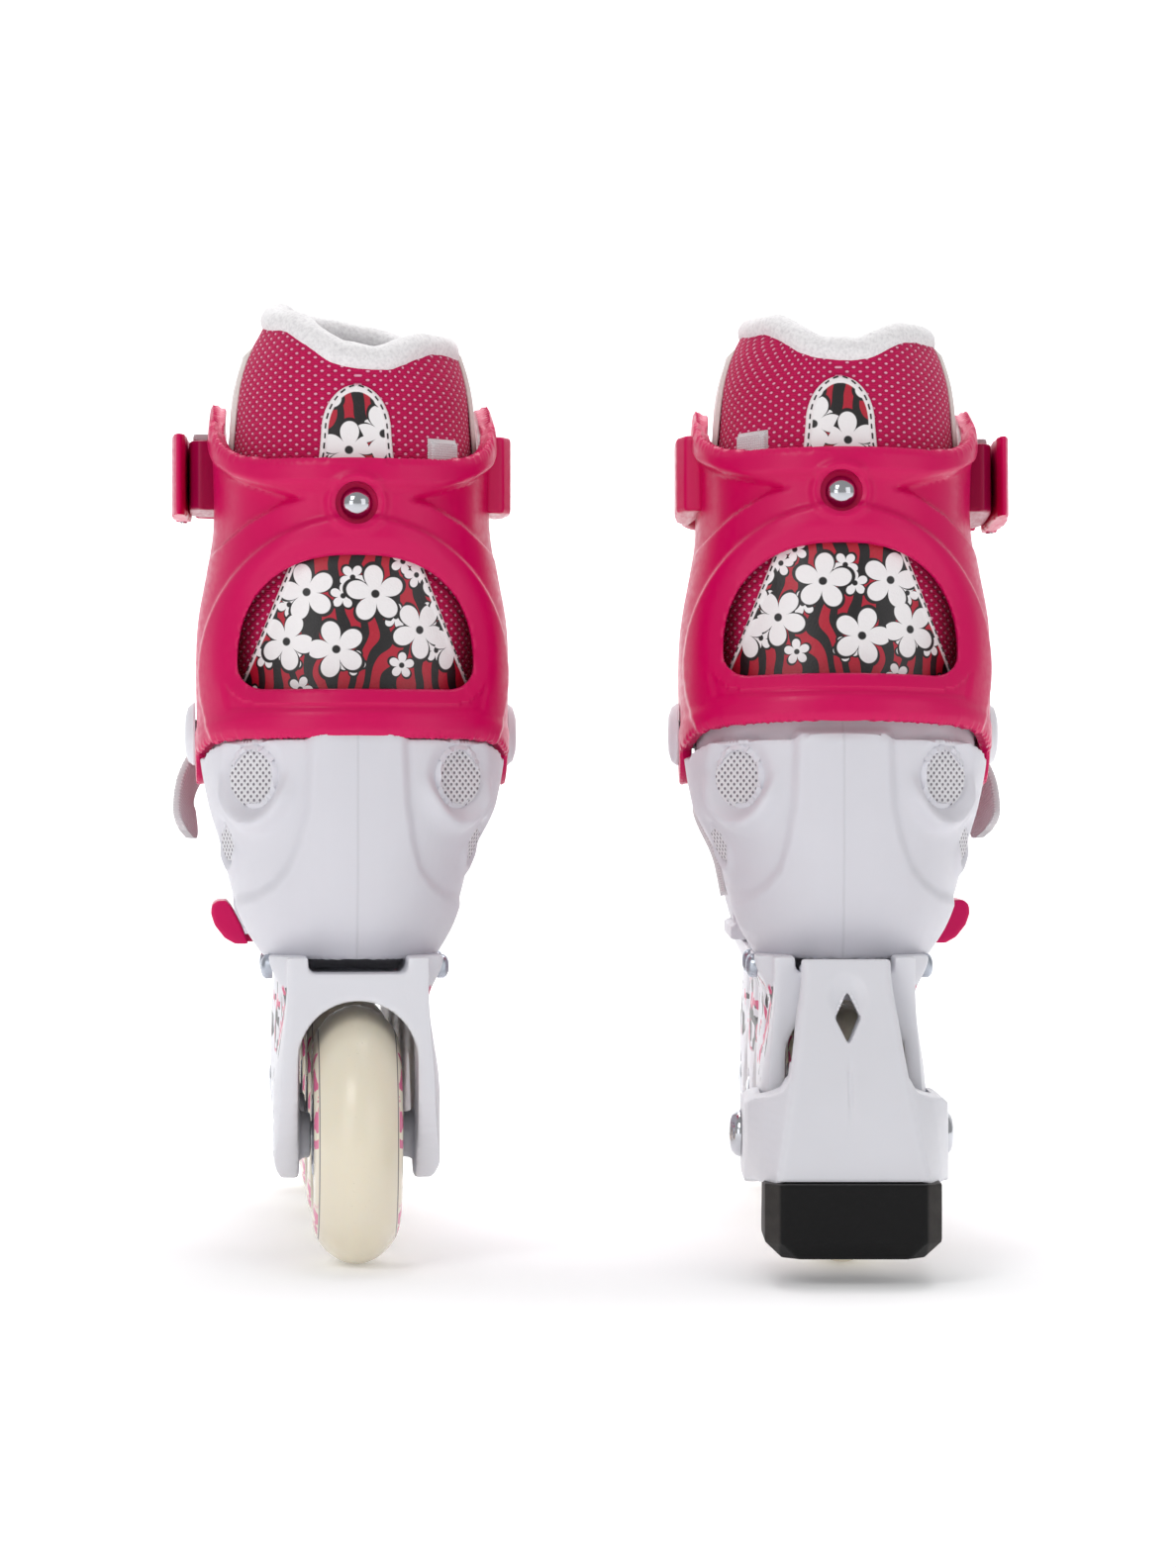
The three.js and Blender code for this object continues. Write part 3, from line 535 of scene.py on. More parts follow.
@dataclass(frozen=True)
class Finish:
    """What every finish has: the real material's name, its colour and how rough it is."""

    name: str
    colour: str
    roughness: float

    def start(self) -> tuple[Tree, Node, Socket]:
        """A new material's tree, its shader, and the place on the skate in millimetres."""
        material = bpy.data.materials.new(self.name)
        material.use_nodes = True
        material.diffuse_color = linear(self.colour)
        tree = material.node_tree
        shader = next(n for n in tree.nodes if n.type == "BSDF_PRINCIPLED")
        shader.inputs["Base Color"].default_value = linear(self.colour)
        shader.inputs["Roughness"].default_value = self.roughness
        place = add(tree, "Attribute", attribute_name="mm", attribute_type="GEOMETRY").outputs["Vector"]
        return tree, shader, place

    def dressed(self, tree: Tree, shader: Node, sockets: dict) -> Material:
        """Fills the shader's inputs and gives the finished material."""
        plug(tree, shader, sockets)
        return bpy.data.materials[self.name]

    def material(self) -> Material:
        """The finished material, made once."""
        made = bpy.data.materials.get(self.name)
        return made if made else self.make()

    def make(self) -> Material:
        """Builds the material."""
        raise NotImplementedError


@dataclass(frozen=True)
class MouldedPlastic(Finish):
    """Injection-moulded nylon or polypropylene: an even skin with a fine spark-eroded grain from the
    mould, corners burnished a little lighter, faint scuffs, and on some pieces the parting line of the
    two mould halves."""

    grain: float = 0.7  # in millimetres, drawn coarser than the real 0.2 so that it shows
    depth: float = 0.02  # how deep the grain is, in millimetres
    shine: float = 0.5  # how strongly the surface mirrors, against the usual 0.5 of plastic
    translucent: float = 0.0
    parting: bool = False

    def tint(self, tree: Tree, place: Socket) -> Socket:
        """The colour before wear: the moulding's own, with the slow mottling of the flowing plastic."""
        flow = add(tree, "TexNoise", {"Vector": place, "Scale": 1 / 24, "Detail": 3.0})
        base = linear(self.colour)
        darker = shaded(self.colour, 0.93)
        return add(tree, "Mix", {0: flow.outputs["Fac"], 6: darker, 7: base}, data_type="RGBA").outputs[2]

    def make(self) -> Material:
        """Builds the material."""
        tree, shader, place = self.start()
        colour = self.tint(tree, place)
        shape = add(tree, "NewGeometry")
        edge = add(tree, "MapRange",
            {"Value": shape.outputs["Pointiness"], 1: 0.5, 2: 0.62, 3: 0.0, 4: 0.3})
        lighter = shaded(self.colour, 1.25, 0.02)
        worn = add(tree, "Mix", {0: edge, 6: colour, 7: lighter}, data_type="RGBA").outputs[2]
        stretched = add(tree, "Mapping", {"Vector": place, "Scale": (0.9, 0.16, 0.5)})
        scuff = add(tree, "TexNoise", {"Vector": stretched, "Scale": 1.0, "Detail": 5.0})
        rough = add(tree, "MapRange",
            {"Value": scuff.outputs["Fac"], 1: 0.35, 2: 0.75, 3: self.roughness - 0.05,
            4: self.roughness + 0.1})
        grain = add(tree, "TexNoise", {"Vector": place, "Scale": 1 / self.grain, "Detail": 2.0})
        height = grain.outputs["Fac"]
        if self.parting:
            across = add(tree, "SeparateXYZ", {0: place})
            away = add(tree, "Math", {0: across}, operation="ABSOLUTE")
            line = add(tree, "MapRange", {"Value": away, 1: 0.15, 2: 0.5, 3: 1.0, 4: 0.0})
            faint = add(tree, "Math", {0: line, 1: 0.22}, operation="MULTIPLY")
            dull = shaded(self.colour, 0.6)
            worn = add(tree, "Mix", {0: faint, 6: worn, 7: dull}, data_type="RGBA").outputs[2]
            height = add(tree, "Math", {0: line, 1: 4.0, 2: height}, operation="MULTIPLY_ADD")
        bump = add(tree, "Bump", {"Height": height, "Distance": self.depth * MM, "Strength": 1.0})
        return self.dressed(tree, shader,
            {"Base Color": worn, "Roughness": rough, "Normal": bump, "IOR": 1.5,
            "Specular IOR Level": self.shine, "Subsurface Weight": self.translucent,
            "Subsurface Radius": (0.002, 0.0015, 0.0013)})


@dataclass(frozen=True)
class PrintedPlastic(MouldedPlastic):
    """Moulded nylon with a two-colour pad print on its flat sides: loose black and pink brush shapes."""

    black: str = "#18151a"
    pink: str = "#d42a6c"

    def tint(self, tree: Tree, place: Socket) -> Socket:
        """The plastic's colour with the print over it, on the sides only."""
        base = super().tint(tree, place)
        parts = add(tree, "SeparateXYZ", {0: place}).outputs
        zone = add(tree, "Math", {0: parts[0]}, operation="ABSOLUTE")
        zone = add(tree, "MapRange", {"Value": zone, 1: 17.6, 2: 17.9})
        for value, low, first in ((parts[2], 49.0, 0.0), (parts[2], 75.0, 1.0), (parts[1], -13.0, 0.0)):
            limit = add(tree, "MapRange", {"Value": value, 1: low, 2: low + 1, 3: first, 4: 1 - first})
            zone = add(tree, "Math", {0: zone, 1: limit}, operation="MULTIPLY")
        flat = add(tree, "Mapping", {"Vector": place, "Scale": (0.0, 0.6, 1.0)})
        for colour, scale, low_cut in ((self.pink, 1 / 19, 0.56), (self.black, 1 / 13, 0.57)):
            brush = add(tree, "TexNoise",
                {"Vector": flat, "Scale": scale, "Detail": 2.5, "Distortion": 1.6})
            mask = add(tree, "MapRange", {"Value": brush.outputs["Fac"], 1: low_cut, 2: low_cut + 0.012})
            mask = add(tree, "Math", {0: mask, 1: zone}, operation="MULTIPLY")
            base = add(tree, "Mix", {0: mask, 6: base, 7: linear(colour)}, data_type="RGBA").outputs[2]
        return base


@dataclass(frozen=True)
class CastUrethane(Finish):
    """Cast polyurethane tyre: slightly see-through ivory with a smooth, softly glossy skin, thin printed
    rings and a pink band on its sides, and fine grit marks where it rolls."""

    ring: str = "#5b5560"
    band: str = "#e06a96"

    def make(self) -> Material:
        """Builds the material; the place is measured from the wheel's centre."""
        tree, shader, place = self.start()
        parts = add(tree, "SeparateXYZ", {0: place})
        flat = add(tree, "CombineXYZ", {1: parts.outputs[1], 2: parts.outputs[2]})
        radius = add(tree, "VectorMath", {0: flat}, operation="LENGTH").outputs["Value"]
        cloud = add(tree, "TexNoise", {"Vector": place, "Scale": 1 / 14, "Detail": 2.0}).outputs["Fac"]
        base = linear(self.colour)
        warm = (base[0] * 0.97, base[1] * 0.94, base[2] * 0.88, 1.0)
        colour = add(tree, "Mix", {0: cloud, 6: warm, 7: base}, data_type="RGBA").outputs[2]
        for middle, half, ink in ((22.9, 0.25, self.ring), (28.3, 0.22, self.ring)):
            off = add(tree, "Math", {0: radius, 1: middle}, operation="SUBTRACT")
            off = add(tree, "Math", {0: off}, operation="ABSOLUTE")
            line = add(tree, "MapRange", {"Value": off, 1: half, 2: half + 0.15, 3: 0.8, 4: 0.0})
            colour = add(tree, "Mix", {0: line, 6: colour, 7: linear(ink)}, data_type="RGBA").outputs[2]
        brush = add(tree, "TexNoise", {"Vector": flat, "Scale": 1 / 11, "Detail": 2.0, "Distortion": 1.2})
        inside = add(tree, "MapRange", {"Value": radius, 1: 23.4, 2: 23.6})
        outside = add(tree, "MapRange", {"Value": radius, 1: 27.6, 2: 27.8, 3: 1.0, 4: 0.0})
        print_on = add(tree, "MapRange", {"Value": brush.outputs["Fac"], 1: 0.52, 2: 0.54})
        mask = add(tree, "Math", {0: inside, 1: outside}, operation="MULTIPLY")
        mask = add(tree, "Math", {0: mask, 1: print_on}, operation="MULTIPLY")
        colour = add(tree, "Mix", {0: mask, 6: colour, 7: linear(self.band)}, data_type="RGBA").outputs[2]
        rolling = add(tree, "MapRange", {"Value": radius, 1: 33.6, 2: 34.8})
        grit = add(tree, "TexNoise", {"Vector": place, "Scale": 1.1, "Detail": 6.0}).outputs["Fac"]
        marks = add(tree, "MapRange", {"Value": grit, 1: 0.66, 2: 0.75, 3: 0.0, 4: 0.25})
        marks = add(tree, "Math", {0: marks, 1: rolling}, operation="MULTIPLY")
        dirty = linear("#8d8677")
        colour = add(tree, "Mix", {0: marks, 6: colour, 7: dirty}, data_type="RGBA").outputs[2]
        rough = add(tree, "MapRange",
            {"Value": cloud, 1: 0.3, 2: 0.7, 3: self.roughness - 0.03, 4: self.roughness + 0.06})
        bump = add(tree, "Bump", {"Height": grit, "Distance": 0.015 * MM, "Strength": 1.0})
        return self.dressed(tree, shader,
            {"Base Color": colour, "Roughness": rough, "Normal": bump, "Subsurface Weight": 0.3,
            "Subsurface Radius": (0.004, 0.003, 0.002), "IOR": 1.5})


@dataclass(frozen=True)
class AirMesh(Finish):
    """Warp-knit spacer fabric: pink polyester threads over foam, with staggered rows of open cells whose
    pale filling shows as white dashes."""

    cell: str = "#f4b4cd"
    shade: str = "#a00a40"
    pitch: float = 3.1  # from one cell to the next along a row, in millimetres

    def make(self) -> Material:
        """Builds the material from the pattern's flat coordinates."""
        tree, shader, _ = self.start()
        flat = add(tree, "Attribute", attribute_name="cloth", attribute_type="GEOMETRY").outputs["Vector"]
        diagonal = add(tree, "Mapping",
            {"Vector": flat, "Rotation": (0.0, 0.0, math.radians(45)), "Scale": (0.85, 1.25, 1.0)},
            vector_type="POINT")
        scale = 1.4142 / self.pitch
        cells = add(tree, "TexVoronoi", {"Vector": diagonal, "Scale": scale, "Randomness": 0.06},
            voronoi_dimensions="2D", feature="F1")
        dot = add(tree, "MapRange", {"Value": cells.outputs["Distance"], 1: 0.13, 2: 0.23, 3: 0.9, 4: 0.0})
        rim = add(tree, "MapRange", {"Value": cells.outputs["Distance"], 1: 0.22, 2: 0.4, 3: 0.45, 4: 0.0})
        thread = add(tree, "TexWave",
            {"Vector": flat, "Scale": 0.62, "Distortion": 1.2, "Detail": 2.0, "Detail Scale": 2.0},
            bands_direction="Y")
        fuzz = add(tree, "TexNoise", {"Vector": flat, "Scale": 2.4, "Detail": 5.0})
        base = linear(self.colour)
        deep = add(tree, "Mix", {0: thread.outputs["Fac"], 6: shaded(self.colour, 0.78), 7: base},
            data_type="RGBA").outputs[2]
        mottled = add(tree, "MapRange", {"Value": fuzz.outputs["Fac"], 1: 0.35, 2: 0.7, 3: 0.25, 4: 0.0})
        deep = add(tree, "Mix", {0: mottled, 6: deep, 7: linear(self.shade)}, data_type="RGBA").outputs[2]
        deep = add(tree, "Mix", {0: rim, 6: deep, 7: linear(self.shade)}, data_type="RGBA").outputs[2]
        colour = add(tree, "Mix", {0: dot, 6: deep, 7: linear(self.cell)}, data_type="RGBA").outputs[2]
        ridge = add(tree, "MapRange", {"Value": cells.outputs["Distance"], 1: 0.1, 2: 0.5})
        height = add(tree, "Math", {0: thread.outputs["Fac"], 1: 0.25, 2: ridge}, operation="MULTIPLY_ADD")
        height = add(tree, "Math", {0: fuzz.outputs["Fac"], 1: 0.3, 2: height}, operation="MULTIPLY_ADD")
        bump = add(tree, "Bump", {"Height": height, "Distance": 0.5 * MM, "Strength": 0.9})
        return self.dressed(tree, shader,
            {"Base Color": colour, "Normal": bump, "Sheen Weight": 0.08, "Sheen Roughness": 0.4,
            "Specular IOR Level": 0.25})


@dataclass(frozen=True)
class PrintedPatch(Finish):
    """Coated synthetic leather with a screen print: white five-petalled flowers with black outlines and
    centres over red and black swirls, inside a plain white folded edge."""

    red: str = "#b3122f"
    black: str = "#171416"
    flower: float = 18.0  # spacing of the flowers in millimetres

    def make(self) -> Material:
        """Builds the material from the pattern's flat coordinates, whose third number is the way to the
        edge."""
        tree, shader, _ = self.start()
        flat = add(tree, "Attribute", attribute_name="cloth", attribute_type="GEOMETRY").outputs["Vector"]
        to_edge = add(tree, "Attribute", attribute_name="to_edge", attribute_type="GEOMETRY").outputs["Fac"]
        swirl = add(tree, "TexWave",
            {"Vector": flat, "Scale": 0.055, "Distortion": 9.0, "Detail": 1.5, "Detail Scale": 1.0,
            "Detail Roughness": 0.4}, wave_type="BANDS")
        ground = add(tree, "MapRange", {"Value": swirl.outputs["Fac"], 1: 0.42, 2: 0.46})
        colour = add(tree, "Mix", {0: ground, 6: linear(self.black), 7: linear(self.red)},
            data_type="RGBA").outputs[2]
        for turn, scale, size in ((1.9, 1.5, 0.3), (0.0, 1.0, 0.44)):
            shifted = add(tree, "Mapping", {"Vector": flat, "Location": (turn * 7.0, turn * 4.0, 0.0)})
            cells = add(tree, "TexVoronoi",
                {"Vector": shifted, "Scale": scale / self.flower, "Randomness": 0.75},
                voronoi_dimensions="2D", feature="F1")
            away = add(tree, "VectorMath", {0: shifted, 1: cells.outputs["Position"]}, operation="SUBTRACT")
            leg = add(tree, "SeparateXYZ", {0: away})
            angle = add(tree, "Math", {0: leg.outputs[1], 1: leg}, operation="ARCTAN2")
            chance = add(tree, "SeparateColor", {0: cells.outputs["Color"]})
            spin = add(tree, "Math", {0: chance, 1: 6.283, 2: angle}, operation="MULTIPLY_ADD")
            half = add(tree, "Math", {0: spin, 1: 2.5}, operation="MULTIPLY")
            wave = add(tree, "Math", {0: half}, operation="COSINE")
            petal = add(tree, "Math", {0: wave}, operation="ABSOLUTE")
            petal = add(tree, "Math", {0: petal, 1: 0.55}, operation="POWER")
            reach = add(tree, "MapRange", {"Value": petal, 3: size * 0.3, 4: size})
            gap = add(tree, "Math", {0: cells.outputs["Distance"], 1: reach}, operation="SUBTRACT")
            outline = add(tree, "MapRange", {"Value": gap, 1: 0.045, 2: 0.055, 3: 1.0, 4: 0.0})
            inner = add(tree, "MapRange", {"Value": gap, 1: -0.012, 2: 0.0, 3: 1.0, 4: 0.0})
            heart = add(tree, "MapRange",
                {"Value": cells.outputs["Distance"], 1: 0.055, 2: 0.07, 3: 1.0, 4: 0.0})
            colour = add(tree, "Mix", {0: outline, 6: colour, 7: linear(self.black)},
                data_type="RGBA").outputs[2]
            colour = add(tree, "Mix", {0: inner, 6: colour, 7: linear(self.colour)},
                data_type="RGBA").outputs[2]
            colour = add(tree, "Mix", {0: heart, 6: colour, 7: linear(self.black)},
                data_type="RGBA").outputs[2]
        border = add(tree, "MapRange", {"Value": to_edge, 1: 1.9, 2: 2.1, 3: 1.0, 4: 0.0})
        colour = add(tree, "Mix", {0: border, 6: colour, 7: linear("#efe9ea")}, data_type="RGBA").outputs[2]
        leather = add(tree, "TexVoronoi", {"Vector": flat, "Scale": 1.6}, voronoi_dimensions="2D")
        crease = add(tree, "TexNoise", {"Vector": flat, "Scale": 0.18, "Detail": 3.0})
        height = add(tree, "Math", {0: crease.outputs["Fac"], 1: 6.0, 2: leather.outputs["Distance"]},
            operation="MULTIPLY_ADD")
        bump = add(tree, "Bump", {"Height": height, "Distance": 0.05 * MM, "Strength": 0.8})
        return self.dressed(tree, shader,
            {"Base Color": colour, "Normal": bump, "Coat Weight": 0.15, "Coat Roughness": 0.3})


@dataclass(frozen=True)
class SoftCloth(Finish):
    """Brushed plush, knitted lining or woven tape: threads or pile that show as fine relief, and a soft
    sheen."""

    thread: float = 1.2  # their spacing in millimetres, about twice the real one so that it shows
    woven: bool = False
    shade: str = "#b9b5b9"

    def make(self) -> Material:
        """Builds the material; woven cloth follows its flat coordinates, pile the place on the skate."""
        tree, shader, place = self.start()
        fuzz = add(tree, "TexNoise", {"Vector": place, "Scale": 1 / self.thread, "Detail": 4.0})
        height = fuzz.outputs["Fac"]
        if self.woven:
            flat = add(tree, "Attribute", attribute_name="cloth",
                attribute_type="GEOMETRY").outputs["Vector"]
            scale = 1 / (self.thread * 2)
            warp = add(tree, "TexWave", {"Vector": flat, "Scale": scale}, bands_direction="X")
            weft = add(tree, "TexWave", {"Vector": flat, "Scale": scale}, bands_direction="Y")
            height = add(tree, "Math", {0: warp.outputs["Fac"], 1: weft.outputs["Fac"]},
                operation="MULTIPLY")
        deep = add(tree, "MapRange", {"Value": height, 1: 0.2, 2: 0.6, 3: 0.55, 4: 0.0})
        colour = add(tree, "Mix", {0: deep, 6: linear(self.colour), 7: linear(self.shade)},
            data_type="RGBA").outputs[2]
        bump = add(tree, "Bump", {"Height": height, "Distance": self.thread * 0.3 * MM, "Strength": 0.7})
        return self.dressed(tree, shader,
            {"Base Color": colour, "Normal": bump, "Sheen Weight": 0.4, "Sheen Roughness": 0.5,
            "Specular IOR Level": 0.2})


@dataclass(frozen=True)
class VentNet(Finish):
    """Open knitted net over the liner: white diamonds of thread with grey shadow in their holes."""

    hole: str = "#77727a"
    pitch: float = 1.5  # from one hole to the next, in millimetres

    def make(self) -> Material:
        """Builds the material from the net's flat coordinates."""
        tree, shader, _ = self.start()
        flat = add(tree, "Attribute", attribute_name="cloth", attribute_type="GEOMETRY").outputs["Vector"]
        slant = add(tree, "Mapping",
            {"Vector": flat, "Rotation": (0.0, 0.0, math.radians(45)), "Scale": (1.0, 1.0, 1.0)})
        holes = add(tree, "TexVoronoi", {"Vector": slant, "Scale": 1 / self.pitch, "Randomness": 0.1},
            voronoi_dimensions="2D")
        # the net's holes are painted grey as shadow
        hole_shadow = add(tree, "MapRange",
            {"Value": holes.outputs["Distance"], 1: 0.2, 2: 0.34, 3: 1.0, 4: 0.0})
        colour = add(tree, "Mix", {0: hole_shadow, 6: linear(self.colour), 7: linear(self.hole)},
            data_type="RGBA").outputs[2]
        bump = add(tree, "Bump",
            {"Height": holes.outputs["Distance"], "Distance": 0.6 * MM, "Strength": 1.0})
        return self.dressed(tree, shader, {"Base Color": colour, "Normal": bump, "Sheen Weight": 0.2})


@dataclass(frozen=True)
class BareMetal(Finish):
    """Steel that is zinc-plated, or polished to a mirror: fine turning marks and the odd fingerprint."""

    def make(self) -> Material:
        """Builds the material."""
        tree, shader, place = self.start()
        smudge = add(tree, "TexNoise", {"Vector": place, "Scale": 0.35, "Detail": 4.0})
        rough = add(tree, "MapRange",
            {"Value": smudge.outputs["Fac"], 1: 0.3, 2: 0.7, 3: self.roughness * 0.7,
            4: self.roughness * 1.5 + 0.02})
        marks = add(tree, "TexNoise", {"Vector": place, "Scale": 5.0, "Detail": 2.0})
        bump = add(tree, "Bump", {"Height": marks.outputs["Fac"], "Distance": 0.004 * MM, "Strength": 1.0})
        return self.dressed(tree, shader, {"Roughness": rough, "Normal": bump, "Metallic": 1.0})


@dataclass(frozen=True)
class BrakeRubber(Finish):
    """Compression-moulded black rubber: a dull, pitted skin that greys with dust on its cut sides."""

    dusty: str = "#3c3937"

    def make(self) -> Material:
        """Builds the material; the sides are those that face outwards past the pad's bevels."""
        tree, shader, place = self.start()
        out = add(tree, "SeparateXYZ", {0: place})
        out = add(tree, "Math", {0: out}, operation="ABSOLUTE")
        side = add(tree, "MapRange", {"Value": out, 1: 18.8, 2: 19.6})
        dust = add(tree, "TexNoise", {"Vector": place, "Scale": 0.25, "Detail": 6.0}).outputs["Fac"]
        patchy = add(tree, "MapRange", {"Value": dust, 1: 0.2, 2: 0.7, 3: 0.6, 4: 1.0})
        mask = add(tree, "Math", {0: side, 1: patchy}, operation="MULTIPLY")
        colour = add(tree, "Mix", {0: mask, 6: linear(self.colour), 7: linear(self.dusty)},
            data_type="RGBA").outputs[2]
        pits = add(tree, "TexNoise", {"Vector": place, "Scale": 1.8, "Detail": 4.0})
        bump = add(tree, "Bump", {"Height": pits.outputs["Fac"], "Distance": 0.08 * MM, "Strength": 1.0})
        return self.dressed(tree, shader,
            {"Base Color": colour, "Normal": bump, "Specular IOR Level": 0.22})


# White moulded nylon takes the light softly, with a fine grain and a faint parting line down the heel.
WHITE_NYLON = MouldedPlastic("white_moulded_nylon", "#dcdbe2", 0.48, translucent=0.06, parting=True)
# The frame's nylon is a little smoother, and its sides carry the print; the brake's arm is plain.
FRAME_NYLON = PrintedPlastic("white_nylon_with_pad_print", "#e2e2e8", 0.42, translucent=0.05)
BRAKE_NYLON = MouldedPlastic("white_moulded_brake_nylon", "#e2e2e8", 0.42, translucent=0.05)
# Pink polyurethane is even in colour, with broad soft highlights on its rolled edges.
PINK_PLASTIC = MouldedPlastic("pink_moulded_polyurethane", "#d2005a", 0.33, grain=1.6, depth=0.003,
    shine=0.26)
# The buckle's base is painted a darker pink than its lever, as the shade that the lever casts on it.
PINK_IN_PAINTED_SHADE = MouldedPlastic("pink_buckle_base_painted_shade", "#a00345", 0.36, grain=1.6, depth=0.003, shine=0.26)
# Glass-filled nylon is a touch greyer and duller.
HUB_NYLON = MouldedPlastic("white_glass_filled_hub_nylon", "#d9d6da", 0.45)
# Cast urethane is creamy, with a soft gleam along the tread.
URETHANE = CastUrethane("ivory_cast_urethane", "#ece5d3", 0.2)
# The mesh reads as pink cloth with rows of pale dashes.
PINK_AIR_MESH = AirMesh("pink_spacer_mesh", "#d60a5c", 0.75)
# Plush is matt and fuzzy; the lining inside it is greyer.
WHITE_PLUSH = SoftCloth("white_brushed_plush", "#f1eff0", 0.9, thread=0.9)
GREY_LINING = SoftCloth("pale_knitted_lining", "#dad7dc", 0.9, thread=1.4, shade="#a9a5ac")
# Woven nylon tape shows its weave where the light grazes it.
WHITE_TAPE = SoftCloth("white_woven_strap_tape", "#e9e4e6", 0.7, thread=1.1, woven=True)
# Thick polyester thread stands proud of the patch as dark dashes.
DARK_THREAD = SoftCloth("dark_polyester_thread", "#3a3436", 0.6, thread=0.5, shade="#1d1a1b")
# Coated leather gives the print a slight shine.
FLOWER_PATCH = PrintedPatch("printed_synthetic_leather", "#f2eff0", 0.4)
# The side panels are plain cream leather, duller than the patch.
PALE_LEATHER = SoftCloth("cream_synthetic_leather", "#e6dcd8", 0.5, thread=1.0, shade="#cfc4c0")
# The net's holes are painted grey as the shadow behind it.
NET = VentNet("white_vent_net", "#e4e2e6", 0.7)
# Polished steel mirrors the room; zinc plating is bluer and blurs it.
CHROME = BareMetal("polished_chrome_steel", "#c9cbd0", 0.08)
ZINC = BareMetal("zinc_plated_steel", "#b4bac4", 0.3)
# The rubber is nearly black and hardly reflects.
RUBBER = BrakeRubber("black_brake_rubber", "#0c0c0d", 0.6)


# ------------------------------------------------------------ repeated detail


class Layout(Enum):
    """How a Geometry Nodes tree sets out its copies."""

    AROUND = "around the X axis"
    ALONG = "along a line"
    ALONG_UPRIGHT = "along a level line, kept upright"


class Repeats:
    """A Geometry Nodes tree that sets out copies of a small form and makes them real."""

    SEED = 7

    def __init__(self, layout: Layout) -> None:
        """Builds the tree with its named inputs."""
        self.tree = bpy.data.node_groups.new(f"repeats {layout.value}", "GeometryNodeTree")
        face = self.tree.interface
        self.ids: dict[str, str] = {}
        for name, kind in (("Line", "NodeSocketGeometry"), ("Copy", "NodeSocketObject"),
                ("Count", "NodeSocketInt"), ("Play", "NodeSocketFloat"), ("Finish", "NodeSocketMaterial")):
            self.ids[name] = face.new_socket(name, in_out="INPUT", socket_type=kind).identifier
        face.new_socket("Geometry", in_out="OUTPUT", socket_type="NodeSocketGeometry")
        start = self.tree.nodes.new("NodeGroupInput").outputs
        made = add(self.tree, "GeometryNodeObjectInfo", {"Object": start["Copy"]},
            transform_space="ORIGINAL")
        order = add(self.tree, "GeometryNodeInputIndex")
        if layout is Layout.AROUND:
            places = add(self.tree, "GeometryNodePoints", {"Count": start["Count"]})
            step = add(self.tree, "Math", {0: 2 * math.pi, 1: start["Count"]}, operation="DIVIDE")
            turn = add(self.tree, "Math", {0: order, 1: step}, operation="MULTIPLY")
            rotation = add(self.tree, "CombineXYZ", {0: turn})
        else:
            curve = add(self.tree, "GeometryNodeMeshToCurve", {"Mesh": start["Line"]})
            spread = add(self.tree, "GeometryNodeCurveToPoints", {"Curve": curve, "Count": start["Count"]})
            places = spread.outputs["Points"]
            pivot = "Z" if layout is Layout.ALONG_UPRIGHT else "AUTO"
            rotation = add(self.tree, "FunctionNodeAlignRotationToVector",
                {"Vector": spread.outputs["Tangent"]}, axis="X", pivot_axis=pivot)
        size = add(self.tree, "FunctionNodeRandomValue", {"Seed": self.SEED}, data_type="FLOAT")
        low = add(self.tree, "Math", {0: 1.0, 1: start["Play"]}, operation="SUBTRACT")
        high = add(self.tree, "Math", {0: 1.0, 1: start["Play"]}, operation="ADD")
        plug(self.tree, size, {2: low, 3: high})
        copies = add(self.tree, "GeometryNodeInstanceOnPoints",
            {"Points": places, "Instance": made.outputs["Geometry"], "Rotation": rotation,
            "Scale": size.outputs[1]})
        real = add(self.tree, "GeometryNodeRealizeInstances", {0: copies})
        finished = add(self.tree, "GeometryNodeSetMaterial",
            {"Geometry": real, "Material": start["Finish"]})
        end = self.tree.nodes.new("NodeGroupOutput")
        plug(self.tree, end, {0: finished})

    def form(self, copy: Form, count: int, finish: Finish, play: float = 0.0,
            line: np.ndarray | None = None) -> Form:
        """Runs the tree.

        Args:
            copy: the form that is repeated, at the origin and along +X.
            count: how many copies there are.
            finish: the copies' finish.
            play: how much the copies differ in size, as a share.
            line: the points of the line that they follow.

        Returns:
            All copies as one form.
        """
        one = work_object(copy)
        mesh = bpy.data.meshes.new("line")
        if line is not None:
            mesh.from_pydata(line.tolist(), [(i, i + 1) for i in range(len(line) - 1)], [])
        carrier = bpy.data.objects.new("repeats", mesh)
        bpy.context.scene.collection.objects.link(carrier)
        nodes = carrier.modifiers.new("repeats", "NODES")
        nodes.node_group = self.tree
        for name, value in (("Copy", one), ("Count", count), ("Play", play), ("Finish", finish.material())):
            nodes[self.ids[name]] = value
        made = form_of(carrier)
        bpy.data.objects.remove(one)
        return made


# ------------------------------------------------------------ placing pieces


class Side(Enum):
    """Which foot a skate is for."""

    LEFT = "left"
    RIGHT = "right"


@dataclass
class Piece:
    """A finished piece of one skate, in that skate's millimetres."""

    name: str
    form: Form
    finish: Finish
    body: str  # the moving body that it rides on, without the side, or "pair"
    slot: str
    replaces: tuple[str, ...] = ()
    crease: float = 38.0  # edges that turn more than this many degrees stay sharp
    at: tuple[float, float, float] = (0.0, 0.0, 0.0)
    to_edge: np.ndarray | None = None  # each point's way to a patch's edge
    fill: float | None = None  # how full a padded piece is
    lining: tuple[Finish, int] | None = None  # a second finish and the first face that has it
    share: np.ndarray | None = None  # how far each point follows the cuff, where a piece bends


